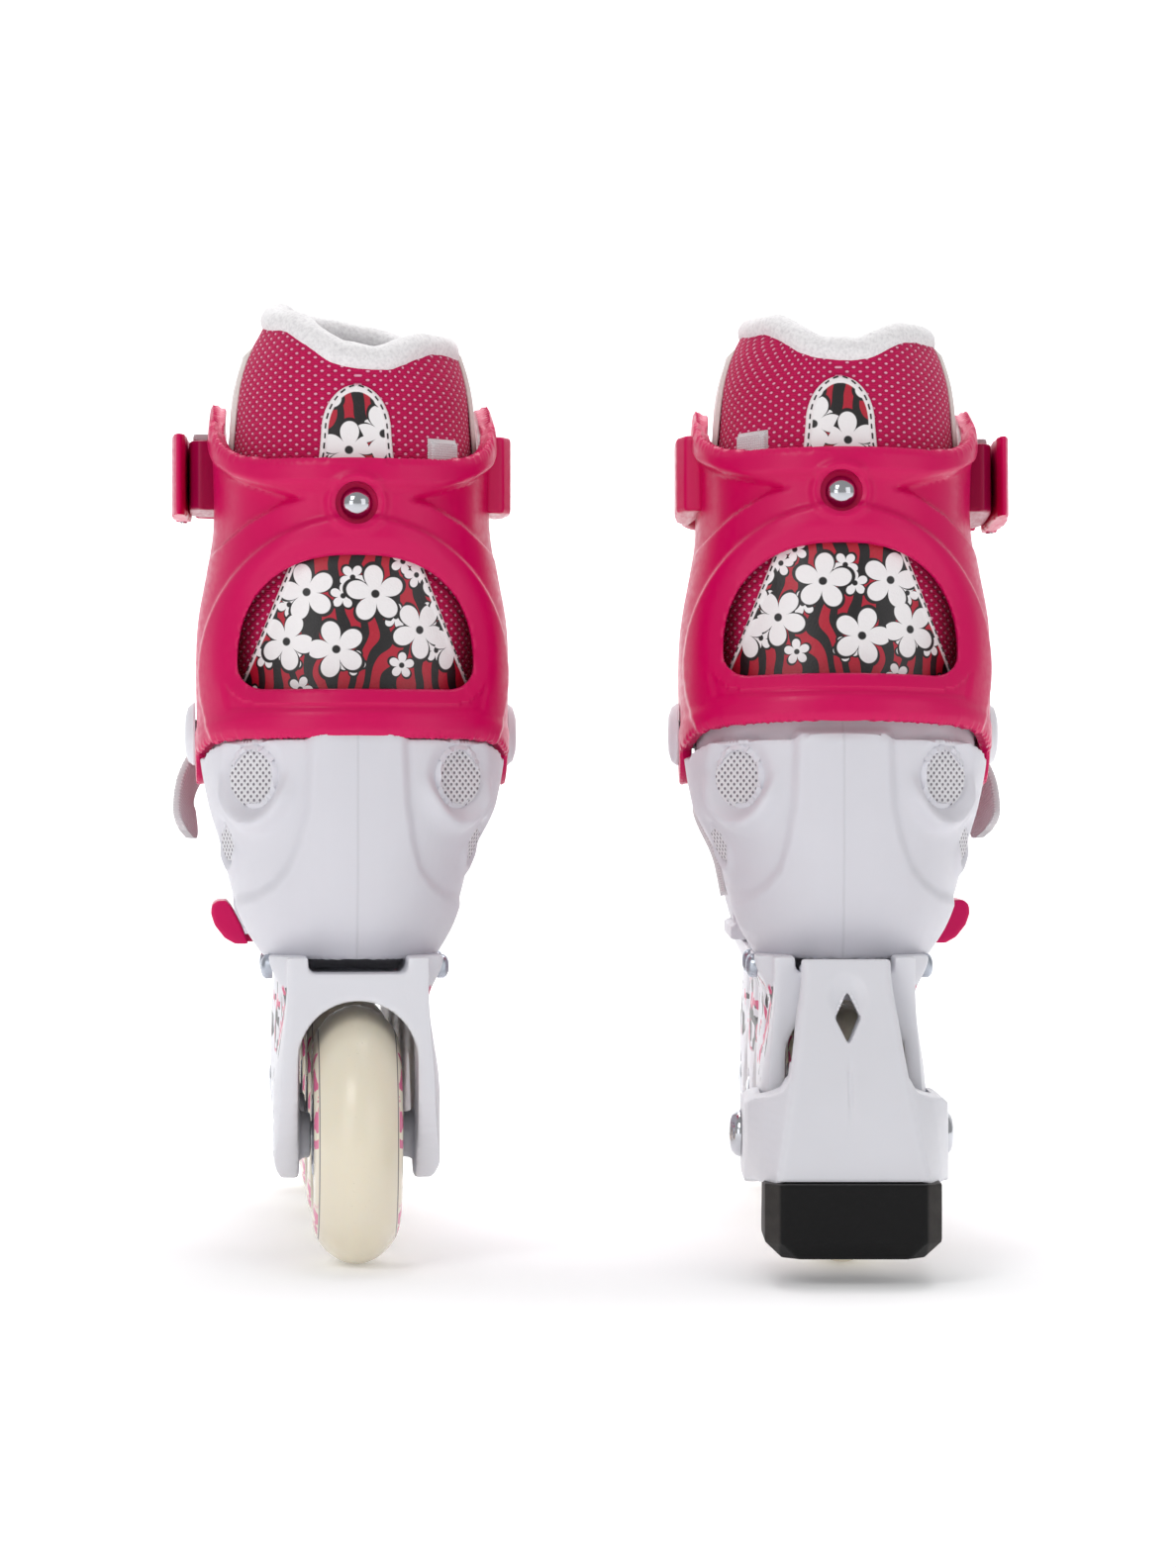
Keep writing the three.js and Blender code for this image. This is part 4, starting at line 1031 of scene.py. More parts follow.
@dataclass(frozen=True)
class Skate:
    """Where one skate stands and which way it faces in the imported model."""

    side: Side
    origin: np.ndarray  # on the ground under the rear axle, in millimetres
    outward: np.ndarray
    forward: np.ndarray
    lean: float  # how far the cuff leans forward as packed, in radians

    LEANING = ("cuff_body", "lever")

    @classmethod
    def packed(cls, side: Side) -> "Skate":
        """Reads one skate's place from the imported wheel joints."""
        joints = {j["name"]: j for j in frame["joints"]}
        rear, front = (np.array(joints[f"{side.value}_wheel_{i}_spin"]["pos_m"]) / MM for i in (1, 4))
        forward = (front - rear) / np.linalg.norm(front - rear)
        hand = 1 if side is Side.RIGHT else -1
        outward = np.array([forward[1] * hand, -forward[0] * hand, 0.0])
        lean = -math.radians(joints[f"{side.value}_cuff_flex"]["range_deg"][0])
        return cls(side, np.array([rear[0], rear[1], 0.0]), outward, forward, lean)

    def row(self, points: np.ndarray, share: np.ndarray | float) -> np.ndarray:
        """Points in the model's metres, leaned about the ankle by a share of the cuff's lean."""
        turn = self.lean * np.broadcast_to(share, len(points))
        y, z = points[:, 1] - ANKLE[0], points[:, 2] - ANKLE[1]
        along = ANKLE[0] + y * np.cos(turn) + z * np.sin(turn)
        up = ANKLE[1] - y * np.sin(turn) + z * np.cos(turn)
        out = self.origin + points[:, :1] * self.outward + along[:, None] * self.forward
        out[:, 2] += up
        return out * MM

    def place(self, piece: Piece) -> bpy.types.Object:
        """Makes a piece's object and fixes it to its body; a piece that bends at the ankle is only placed.
        """
        name = f"{self.side.value}_{piece.name}"
        points = piece.form.points + np.array(piece.at)
        share = piece.share if piece.share is not None else float(piece.body in self.LEANING)
        mesh = bpy.data.meshes.new(name)
        mesh.from_pydata(self.row(points, share).tolist(), [], piece.form.faces)
        turn_outwards(mesh)
        self._write(mesh, "mm", "FLOAT_VECTOR", piece.form.points)
        if piece.form.cloth is not None:
            flat = np.column_stack([piece.form.cloth, np.zeros(len(points))])
            self._write(mesh, "cloth", "FLOAT_VECTOR", flat)
        if piece.to_edge is not None:
            self._write(mesh, "to_edge", "FLOAT", piece.to_edge)
        mesh.shade_smooth()
        mesh.set_sharp_from_angle(angle=math.radians(piece.crease))
        mesh.materials.append(piece.finish.material())
        if piece.lining is not None:
            mesh.materials.append(piece.lining[0].material())
            slots = (np.arange(len(mesh.polygons)) >= piece.lining[1]).astype(np.int32)
            mesh.polygons.foreach_set("material_index", slots)
        obj = bpy.data.objects.new(name, mesh)
        bpy.context.scene.collection.objects.link(obj)
        if piece.share is None:
            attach(obj, piece.body if piece.body == "pair" else f"{self.side.value}_{piece.body}")
        else:
            ankle = self.row(np.array([[0.0, ANKLE[0], 138.0], [0.0, ANKLE[0], 166.0]]), 0.0)
            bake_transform(obj)
        if piece.replaces:
            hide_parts(*[f"{self.side.value}_{node}" for node in piece.replaces])
        LOG.info("%s: %d faces", name, len(mesh.polygons))
        return obj

    @staticmethod
    def _write(mesh: bpy.types.Mesh, name: str, kind: str, values: np.ndarray) -> None:
        """Stores one value for each point of a mesh."""
        attribute = mesh.attributes.new(name, kind, "POINT")
        key = "vector" if kind == "FLOAT_VECTOR" else "value"
        attribute.data.foreach_set(key, np.ascontiguousarray(values, np.float32).ravel())


# ------------------------------------------------------------ wheels and frame


def mirrored(profile: Outline) -> Outline:
    """A half profile of (radius, x) points with its mirror image, as one closed profile."""
    return list(profile) + [(r, -x) for r, x in reversed(profile)]


@dataclass(frozen=True)
class Wheel:
    """A cast tyre on a spoked hub with two shielded bearings."""

    radius: float = 35.0
    half: float = 11.9
    shoulder: float = 22.6  # the radius where the rounded tread starts
    core: float = 21.0
    bore: float = 11.2
    bearing: float = 10.95
    spokes: int = 5

    def tyre(self) -> Form:
        """The tyre: flat walls and a rounded tread."""
        walls = [(self.core + 0.2, 9.4), (self.core + 0.5, 10.6), (self.core + 1.0, 11.5)]
        tread = []
        for t in np.linspace(math.pi / 2, 0.03, 26):
            height = (self.radius - self.shoulder) * math.cos(t)
            tread.append((self.shoulder + height, self.half * math.sin(t) ** 1.12))
        return turned(mirrored(walls + tread))

    def hub(self, around: Repeats) -> Form:
        """The hub: a rim, a bearing seat, a middle web and the spokes."""
        rim = turned(mirrored([(18.4, 8.6), (19.0, 9.7), (20.2, 9.9), (self.core, 9.2)]), 64)
        seat = turned(mirrored([(self.bore, 10.9), (self.bore + 0.5, 11.5), (13.9, 11.5), (14.6, 10.8)]),
            64)
        web = turned(mirrored([(13.5, 1.4), (19.5, 1.4)]), 64)
        spoke = slab([(-8.6, 13.6), (8.6, 13.6), (8.6, 19.4), (-8.6, 19.4)], "y", -1.7, 1.7)
        return joined([rim, seat, web, around.form(spoke, self.spokes, HUB_NYLON)])

    def bearings(self) -> Form:
        """Two bearings, each with a sunk shield, and the spacer between them."""
        half = [(4.1, 11.9), (5.7, 11.9), (5.9, 11.4), (9.1, 11.4), (9.3, 11.9), (10.7, 11.9)]
        half += [(self.bearing, 11.6), (self.bearing, 5.0), (6.0, 5.0)]
        return turned(mirrored(half), 48)

    def pieces(self, around: Repeats) -> list[Piece]:
        """Every wheel's pieces; each wheel rides on its own spinning body."""
        tyre, hub, bearings = self.tyre(), self.hub(around), self.bearings()
        made = []
        for i in range(AXLES):
            n, at = i + 1, (0.0, i * PITCH, self.radius)
            made.append(Piece(f"tyre_{n}_visual", tyre, URETHANE, f"wheel_{n}", "ivory_urethane",
                (f"tyre_{n}",), 60, at))
            made.append(Piece(f"hub_{n}_visual", hub, HUB_NYLON, f"wheel_{n}", "white_hub", (f"hub_{n}",),
                30, at))
            made.append(Piece(f"bearings_{n}_visual", bearings, ZINC, f"wheel_{n}", "steel",
                (f"bearings_{n}",), 30, at))
        return made


@dataclass(frozen=True)
class Frame:
    """The one-piece frame: two side plates joined by a deck, with a foot over each axle and a slot for a
    brake."""

    half: float = 18.9
    inner: float = 15.5
    top: float = 83.7
    deck: float = 4.7
    rear: float = -20.0
    foot: float = 23.5
    arch: float = 54.0
    flare: float = 3.4  # how far each foot swells outwards round its axle

    def outline(self) -> Outline:
        """The side plate's outline in (y, z)."""
        low = [(self.rear, 46.0), (self.rear + 3, 36.0), (-11.5, 27.5), (-7.5, 24.4)]
        for i in range(AXLES):
            y = i * PITCH
            low += [(y - 3, self.foot), (y + 3, self.foot), (y + 8, 25.2)]
            if i < AXLES - 1:
                low += [(y + 15, 33.0), (y + 20, 44.0), (y + 26, 51.5), (y + 33, self.arch),
                    (y + 43, self.arch)]
                low += [(y + 50, 51.5), (y + 56, 44.0), (y + 61, 33.0), (y + 68, 25.2)]
        return [(self.rear, self.top)] + low + [(241, 36), (242, 46), (240, 66), (236, 76), (230, self.top)]

    def swell(self, points: np.ndarray) -> np.ndarray:
        """Swells the feet and the top flange outwards, and sinks the fields and the bolts' seats in the
        plates."""
        y, z = points[:, 1], points[:, 2]
        away = np.abs((y + PITCH / 2) % PITCH - PITCH / 2)
        outer = smooth(self.half - 1.6, self.half - 0.4, np.abs(points[:, 0]))
        foot = smooth(30, 10, away) * smooth(76, 46, z) * smooth(19, 29, z)
        seat = smooth(8.1, 7.3, np.hypot(away, z - AXLE_Z)) * 3.1
        field = smooth(22, 28, away) * smooth(57, 60, z) * smooth(74, 71, z) * 1.2
        flange = 4.6 * smooth(68, 83, z) ** 1.4 * smooth(-9, -4, y) * smooth(215, 196, y)
        rear = 0.35 + 0.65 * smooth(45, 25, y)
        lift = outer * (self.flare * foot * rear - seat - field + flange)
        return np.stack([points[:, 0] + np.sign(points[:, 0]) * lift, y, z], axis=1)

    def form(self) -> Form:
        """The whole frame."""
        step = self.rear + 15
        room = [(self.rear + 5, 0), (300, 0), (300, self.top - self.deck), (step, self.top - self.deck),
            (step, 75.5), (self.rear + 5, 75.5)]
        channel = slab(room, "x", -self.inner, self.inner)
        arch = slab([(-16, 0), (16, 0)] + arc(0, 56, 16, 0, 180), "y", self.rear - 2, self.rear + 6)
        slot = slab([(-13.3, 79.3), (13.3, 79.3), (13.3, 90), (-13.3, 90)], "y", self.rear - 2,
            self.rear + 44)
        cuts = [(Cut.TAKE, channel), (Cut.TAKE, arch), (Cut.TAKE, slot)]
        body = carve(slab(self.outline(), "x", -self.half, self.half), cuts)
        seats = [rod((s * 12.3, i * PITCH, AXLE_Z), (s * 16.5, i * PITCH, AXLE_Z), 6.2)
            for i in range(AXLES) for s in (-1, 1)]
        body = melt(joined([body] + seats), 0.85, 3).moved(self.swell)
        bores = [(Cut.TAKE, rod((-40, i * PITCH, AXLE_Z), (40, i * PITCH, AXLE_Z), 3.95))
            for i in range(AXLES)]
        return carve(body, bores)

    def bolt(self, grip: float) -> Form:
        """An axle bolt whose two heads are held apart by twice the grip."""
        shaft = rod((-grip - 1, 0, 0), (grip + 1, 0, 0), 3.7)
        head = [(0, 3.1), (3.4, 3.05), (5.0, 2.5), (6.1, 1.4), (6.5, 0.4), (6.5, 0), (0, 0)]
        socket = slab([(2.2 * math.cos(t), 2.2 * math.sin(t)) for t in np.radians(range(0, 360, 60))], "x",
            1.4, 9)
        one = carve(dome_turned(head), [(Cut.TAKE, socket)])
        right = one.moved(lambda p: p + (grip + 0.2, 0, 0))
        left = one.moved(lambda p: p * (-1, 1, 1) - (grip + 0.2, 0, 0))
        return joined([shaft, right, left])

    def axle(self, number: int, grip: float = 19.3) -> Piece:
        """One axle bolt."""
        node, at = f"axle_{number}", (0.0, (number - 1) * PITCH, AXLE_Z)
        return Piece(f"{node}_visual", self.bolt(grip), CHROME, "pair", "steel", (node,), 30, at)

    def pieces(self) -> list[Piece]:
        """The frame with the axle bolts of its three front wheels."""
        made = [Piece("frame_visual", self.form(), FRAME_NYLON, "pair", "white_moulding", ("frame",))]
        return made + [self.axle(number, 17.5) for number in (2, 3, 4)]


# ------------------------------------------------------------ boot


def raised_sections(*rows: tuple[float, ...]) -> Rows:
    """A shell's sections from z, rear, heel and waist, with the open front that the liner fills."""
    return Rows(tuple((z, rear, heel, waist, waist + 1.8, 126.0, 150.0) for z, rear, heel, waist in rows))


def even_sections(ball_y: float, toe: float, *rows: tuple[float, ...]) -> Rows:
    """A leg part's sections from z, rear and heel, as wide in front as at the heel."""
    return Rows(tuple((z, rear, heel, heel, heel, ball_y, toe) for z, rear, heel in rows))


def slimmed(points: np.ndarray) -> np.ndarray:
    """Draws the low sides of the foot in, the inner one more than the outer one."""
    share = np.where(points[:, 0] < 0, 0.125, 0.035) * smooth(125, 105, points[:, 2])
    return points * np.column_stack([1 - share, np.ones((len(points), 2))])


@dataclass(frozen=True)
class HeelShell:
    """The white heel shell with its raised rear panel, its vents and the collar that the cuff turns on."""

    wall: float = 2.8
    floor: float = 4.6
    vent: tuple[float, float, float] = (28.5, -2.0, 132.0)
    vent_look: tuple[float, float, float] = (0.62, -0.78, 0.0)
    side_vent: tuple[float, float, float] = (36.5, 16.0, 114.0)
    side_look: tuple[float, float, float] = (0.92, -0.38, 0.0)

    SKIN = raised_sections((84, -6, 26.5, 25), (91, -10, 31, 28.8), (101, -13, 34.8, 32),
        (115, -14.4, 37.8, 34), (131, -14.2, 41.3, 35.2), (147, -13.5, 43.6, 36))
    COLLAR = even_sections(60, 100, (120, -12.2, 37.6), (141, -9.2, 38.8), (158, -8.0, 38.9))
    PANEL = np.array([(12.4, 146.0), (12.6, 138.0), (13.3, 124.0), (15.5, 115.0), (18.8, 107.5),
        (22.5, 103.0), (27.1, 99.9), (34.7, 97.8), (60.0, 96.0)])

    def rim(self) -> Outline:
        """The wall's side outline in (y, z)."""
        return ([(-30, 80), (-30, 142.7), (4, 141.7), (13, 139.6), (21, 137.3)]
            + arc(*ANKLE, 15.2, 205, 320) + [(62, 127), (74, 118), (88, 113), (122, 110), (122, 80)])

    def relief(self, points: np.ndarray, normals: np.ndarray) -> np.ndarray:
        """The outer face's raised panel, scooped vents and the shelves under them."""
        outward = points - (0.0, 32.0, 0.0)
        outer = smooth(0.05, 0.5, (normals * outward)[:, :2].sum(1) / (np.hypot(*outward[:, :2].T) + 1e-6))
        flat = np.abs(points[:, [0, 2]])
        off = beside(self.PANEL, flat)
        panel = 1.9 * smooth(-1.7, 1.7, -off) * smooth(30, 12, points[:, 1]) * smooth(145.5, 143.2,
            points[:, 2])
        side = points * np.where(points[:, :1] < 0, (-1, 1, 1), (1, 1, 1))
        away = np.linalg.norm(side - np.array(self.vent), axis=1)
        below = smooth(2, -7, side[:, 2] - self.vent[2])
        scoop = -2.3 * smooth(13.5, 7.0, away)
        shelf = 2.7 * np.exp(-(((away - 12.2) / 2.6) ** 2)) * below
        low = np.linalg.norm(side - np.array(self.side_vent), axis=1)
        second = -1.6 * smooth(8, 4, low) + 1.4 * np.exp(-(((low - 7.6) / 1.9) ** 2)) * smooth(1, -4,
            side[:, 2] - 114)
        return outer * (panel * smooth(9.5, 14, away) + scoop + shelf + second)

    def holes(self) -> list[tuple[Cut, Form]]:
        """The vents, the button's notch and the pivots' holes."""
        cuts = []
        for at, look, radius in ((self.vent, self.vent_look, 7.2), (self.side_vent, self.side_look, 4.0)):
            for side in (-1, 1):
                mirror = np.array([side, 1, 1])
                start, stop = np.array(at) - 10 * np.array(look), np.array(at) + 14 * np.array(look)
                cuts.append((Cut.TAKE, rod(start * mirror, stop * mirror, radius, 40)))
        for side in (-1, 1):
            cuts.append((Cut.TAKE, rod((side * 30, *ANKLE), (side * 50, *ANKLE), PIVOT_HOLE)))
        notch = slab([(24.7, 76.5), (60, 76.5), (60, 97.7), (24.7, 97.7)], "y", 48.7, 75.3)
        return cuts + [(Cut.TAKE, notch)]

    def net(self, at: Sequence[float], look: Sequence[float], radius: float, side: int) -> Form:
        """A disc of net across one vent."""
        facing = np.array(look) * (side, 1, 1)
        right = np.cross((0, 0, 1.0), facing)
        turn = np.linspace(0, 2 * math.pi, 32, endpoint=False)
        rings, cloth = [], []
        for lift, share in ((0.0, 0.02), (0.0, 0.5), (0.0, 1.0), (-0.6, 1.0), (-0.6, 0.5), (-0.6, 0.02)):
            u, v = radius * share * np.cos(turn), radius * share * np.sin(turn)
            middle = np.array(at) * (side, 1, 1) + facing * (lift - 1.6)
            rings.append(middle + u[:, None] * right + v[:, None] * np.array((0, 0, 1.0)))
            cloth.append(np.stack([u, v], axis=1))
        return loft(np.array(rings), cloth=np.array(cloth))

    def form(self) -> Form:
        """The shell, its collar and its floor."""
        cuts = self.holes()
        wall = carve(self.SKIN.skin(84, 147, 0),
            [(Cut.TAKE, self.SKIN.skin(84 + self.floor, 152, self.wall)),
            (Cut.KEEP, slab(self.rim(), "x", -60, 60))] + cuts)
        edge = [(-30, 110), (-30, 148.5), (12, 149), (24, 153), (34, 158), (58, 158), (60, 140), (60, 118),
            (40, 110)]
        collar = carve(self.COLLAR.skin(120, 158, 0),
            [(Cut.TAKE, self.COLLAR.skin(115, 163, 2.4)), (Cut.KEEP, slab(edge, "x", -60, 60))] + cuts)
        tray = slab([(-31, 100), (31, 100)] + arc(0, 172, 31, 0, 180), "z", 84, 88.2)
        bridge = slab([(-25, 95), (25, 95), (31, 124), (-31, 124)], "z", 84, 88.2)
        return embossed(melt(joined([wall, collar, tray, bridge]), 0.86, 3), self.relief).moved(slimmed)

    def pieces(self) -> list[Piece]:
        """The shell, the nets in its vents and the small bolts of the frame."""
        nets = [self.net(self.vent, self.vent_look, 8.4, s) for s in (-1, 1)]
        nets += [self.net(self.side_vent, self.side_look, 5.0, s) for s in (-1, 1)]
        stud = dome_turned([(0, 1.7), (1.5, 1.6), (2.7, 1.1), (3.3, 0.3), (3.3, -1.5), (0, -1.5)], 32)
        studs = [stud.moved(lambda p, s=s, y=y: p * (s, 1, 1) + (s * 24.0, y, 80.2)) for s in (-1, 1)
            for y in (9, 40)]
        cap = dome_turned([(0, 46.4), (5.0, 46.2), (7.6, 45.4), (8.8, 43.9), (8.8, 43.4), (4.0, 43.6),
            (4.0, 37.6), (0, 37.6)])
        cap = cap.moved(lambda p: p + (0.15, *ANKLE))
        made = [Piece("shell_visual", self.form(), WHITE_NYLON, "pair", "white_moulding", ("shell",)),
            Piece("vent_nets", joined(nets).moved(slimmed), NET, "pair", "white_webbing"),
            Piece("frame_studs", joined(studs), ZINC, "pair", "steel", crease=50)]
        for name, hand in (("outer", 1), ("inner", -1)):
            form = cap.moved(lambda p, hand=hand: p * (hand, 1, 1))
            made.append(Piece(f"pivot_{name}_visual", form, BRAKE_NYLON, "pair", "white_moulding",
                (f"pivot_{name}",)))
        return made


@dataclass(frozen=True)
class ToeCap:
    """The sliding toe cap, open over the instep."""

    wall: float = 2.8

    SKIN = Rows(tuple((z, 60.0, w, w, b, by, t) for z, w, b, by,
        t in ((84.4, 33.4, 30.0, 166.0, 221.0), (92.0, 35.0, 33.4, 166.0, 229.0),
        (106.0, 35.6, 34.0, 162.0, 232.0), (118.0, 34.8, 31.0, 154.0, 224.0),
        (125.0, 32.0, 25.0, 148.0, 207.0), (128.0, 28.4, 20.0, 144.0, 192.0))))

    def relief(self, points: np.ndarray, normals: np.ndarray) -> np.ndarray:
        """A bumper band round the toe and a shallow panel on each side."""
        outer = smooth(0.1, 0.6, (normals * (points - (0, 150, 100)))[:, :2].sum(1) / 30)
        bumper = 0.9 * smooth(101, 98, points[:, 2]) * smooth(150, 185, points[:, 1])
        panel = -0.9 * smooth(115, 119, points[:, 1]) * smooth(152, 146, points[:, 1]) * smooth(94, 97,
            points[:, 2])
        return outer * (bumper + panel * smooth(114, 111, points[:, 2]))

    def piece(self) -> Piece:
        """The cap."""
        keep = [(104, 80), (104, 112), (118, 116), (158, 131), (250, 131), (250, 80)]
        throat = slab([(-19, 90), (19, 90)] + arc(0, 146, 19, 0, 180), "z", 112, 140)
        cap = carve(self.SKIN.skin(84.4, 128, 0),
            [(Cut.TAKE, self.SKIN.skin(82, 125.2, self.wall)), (Cut.KEEP, slab(keep, "x", -60, 60)),
            (Cut.TAKE, throat)])
        form = embossed(melt(cap, 0.9, 3), self.relief).moved(slimmed).moved(slimmed)
        return Piece("toe_cap_visual", form, WHITE_NYLON, "toe", "white_moulding", ("toe_cap",))


@dataclass(frozen=True)
class SizeButton:
    """The pink button on the outer side that frees the toe cap."""

    low: float = 49.2
    high: float = 74.8

    def piece(self) -> Piece:
        """The button with its stem."""
        face = [(28.6, 84.9), (32.4, 84.9), (35.4, 86.6), (38.2, 90.2), (39.3, 93.6), (38.9, 96.0),
            (37.4, 97.2), (34.9, 97.2), (33.4, 95.4), (30.6, 90.0)]
        pad = melt(slab(face, "y", self.low, self.high), 0.5, 6)
        stem = slab([(19.2, 85.3), (31, 85.3), (31, 87.3), (19.2, 87.3)], "y", 58, 66)
        return Piece("size_button_visual", joined([pad, stem]), PINK_PLASTIC, "button", "pink_moulding",
            ("size_button",))


@dataclass(frozen=True)
class Cuff:
    """The pink hinged cuff with its rear window, and the rivet, strap and buckle on it."""

    wall: float = 3.0
    rivet_z: float = 205.8

    SKIN = even_sections(60, 104, (128, -13.4, 42.7), (150, -13.2, 43.2), (162, -12.8, 43.4),
        (175, -10.5, 42.8), (188, -8.6, 40.5), (198, -7.6, 38.8), (225, -7.6, 38.6), (239, -8.4, 37.4))
    NOTCH_HIGH = np.array([(10.0, 207.2), (22.0, 209.8), (32.0, 213.8), (41.0, 221.0), (46.0, 227.0)])
    NOTCH_LOW = np.array([(10.0, 207.0), (20.0, 205.4), (30.0, 200.2), (38.0, 194.0), (44.0, 187.0)])

    def outline(self) -> Outline:
        """The cuff's side outline in (y, z)."""
        return ([(-30, 144.2), (4, 143.2), (13, 141.4), (21, 139.2)] + arc(*ANKLE, 14, 205, 350)
            + [(60, 158), (58, 178), (59, 190), (62, 196), (67, 198.6), (74, 199), (74, 226), (70, 231),
            (64, 234), (57, 235.6), (50, 236), (43, 234.6), (36, 232), (26, 226.6), (16, 221.6), (8, 218.4),
            (0, 216.9), (-30, 216.3)])

    def window(self) -> Outline:
        """The rear window's outline in (x, z)."""
        low, high, half, corner = 155.6, 191.8, 32, 6.5
        t = np.linspace(0, math.pi, 41)
        top = np.stack([half * bent(np.cos(t), 0.8),
            low + corner + (high - low - corner) * bent(np.sin(t), 0.86)], axis=1)
        right = [(half - corner + corner * math.cos(a), low + corner + corner * math.sin(a))
            for a in np.radians((-90, -65, -40, -18))]
        left = [(-x, z) for x, z in reversed(right)]
        return right + [tuple(p) for p in top.tolist()] + left

    def relief(self, points: np.ndarray, normals: np.ndarray) -> np.ndarray:
        """The arch round the window, the notches beside the rivet, the lip and the window's soft bevel."""
        outward = points - (0.0, 36.0, 0.0)
        outer = smooth(0.05, 0.45, (normals * outward)[:, :2].sum(1) / (np.hypot(*outward[:, :2].T) + 1e-6))
        flat = np.stack([np.abs(points[:, 0]), points[:, 2]], axis=1)
        near = smooth(36, 16, points[:, 1])
        arch = np.hypot(flat[:, 0] / 41.5, (flat[:, 1] - 160) / 41.8)
        ridge = 1.5 * smooth(1.04, 0.985, arch)
        step = -0.5 * smooth(0.86, 0.82, arch) * (flat[:, 1] > 150)
        high = beside(self.NOTCH_HIGH, flat)
        low = beside(self.NOTCH_LOW, flat)
        notch = -2.1 * smooth(0.4, -2.0, high) * smooth(-0.3, 1.6, low) * smooth(11, 19, flat[:, 0])
        rim = np.interp(points[:, 1], (-12, 0, 16, 36, 50, 74), (216.4, 216.9, 221.6, 232, 236, 226))
        lip = 1.6 * smooth(8.0, 4.5, rim - points[:, 2])
        edge = np.array(self.window() + self.window()[:1])
        off = beside(edge, points[:, [0, 2]])
        bevel = -1.7 * smooth(6.5, 0.0, np.abs(off)) ** 1.5 * (points[:, 1] < 12)
        hem = 0.6 * smooth(149.5, 146.5, points[:, 2] + 0.1 * points[:, 1])
        from_rivet = np.hypot(points[:, 0], points[:, 2] - self.rivet_z)
        collar = 0.9 * np.exp(-(((from_rivet - 7.3) / 1.2) ** 2))
        return outer * (near * (ridge + step * (bevel > -0.3) + notch + bevel + collar) + lip + hem)

    def shell(self) -> Form:
        """The cuff's wall with the buckle's base."""
        cavity = self.SKIN.skin(122, 245, self.wall)
        recess = rod((0, -13, self.rivet_z), (0, -5.3, self.rivet_z), 5.8, 48)
        hole = rod((0, -13, self.rivet_z), (0, 2, self.rivet_z), 2.3)
        pivots = [(Cut.TAKE, rod((s * 30, *ANKLE), (s * 50, *ANKLE), PIVOT_HOLE)) for s in (-1, 1)]
        wall = carve(self.SKIN.skin(128, 239, 0, 50, 150),
            [(Cut.TAKE, cavity), (Cut.KEEP, slab(self.outline(), "x", -60, 60)),
            (Cut.TAKE, slab(self.window(), "y", -40, 24))] + pivots)
        whole = embossed(melt(wall, 0.75, 4), self.relief)
        return carve(whole, [(Cut.TAKE, recess), (Cut.TAKE, hole)])

    def buckle_base(self) -> Form:
        """The block on the outer side that the lever closes on."""
        block = [(36.5, 38), (42.5, 37), (44.8, 39.5), (45.3, 45), (45.3, 67.5), (43, 73.9), (37.5, 73.9)]
        base = carve(slab(block, "z", 206.5, 226.0), [(Cut.TAKE, self.SKIN.skin(122, 245, self.wall))])
        return melt(base, 0.6, 3)

    def lever(self) -> Form:
        """The lever: a curved plate, thick at its hinge and turned out at its tail."""
        outline = arc(47, 71, 2.4, -60, 180) + [(45.5, 62), (45.7, 48), (46.4, 38), (47.4, 34.6),
            (48.7, 34.4), (49.6, 38), (50.2, 50), (49.9, 62)]
        return melt(slab(outline, "z", 205.0, 227.6), 0.5, 5)

    def ladder(self, teeth: Repeats) -> Form:
        """The ladder strap with its teeth."""
        flat = [(-40.6, 34), (-41.2, 58), (-39.8, 74), (-24, 87), (0, 90.5), (22, 88.5), (36, 83.5),
            (43, 78)]
        route = [(x, y, 216) for x, y in flat]
        strap = band(route, [(0, 0, 1)] * 3, 19, 2.4, 110)
        line = np.array([(x * 1.03, y + 1.35, 216) for x, y in flat[3:7]], float)
        fine = np.linspace(0, 3, 40)
        line = np.stack([flowing(range(4), line[:, k], fine) for k in range(3)], axis=1)
        tooth = slab([(-0.9, -0.4), (0.9, -0.4), (0.2, 0.9), (-0.5, 0.9)], "z", -6.2, 6.2)
        return joined([strap, teeth.form(tooth, 22, PINK_PLASTIC, line=line)])

    def end_block(self) -> Form:
        """The rounded block that clamps the ladder strap's fixed end on the inner side."""
        outline = [(-37.0, 27), (-41.8, 28.0), (-44.3, 33), (-44.6, 44), (-43.9, 54), (-42.4, 58),
            (-42.2, 58.5), (-40.0, 58), (-37.4, 44), (-37.0, 34)]
        return melt(slab(outline, "z", 205.3, 226.7), 0.6, 5)

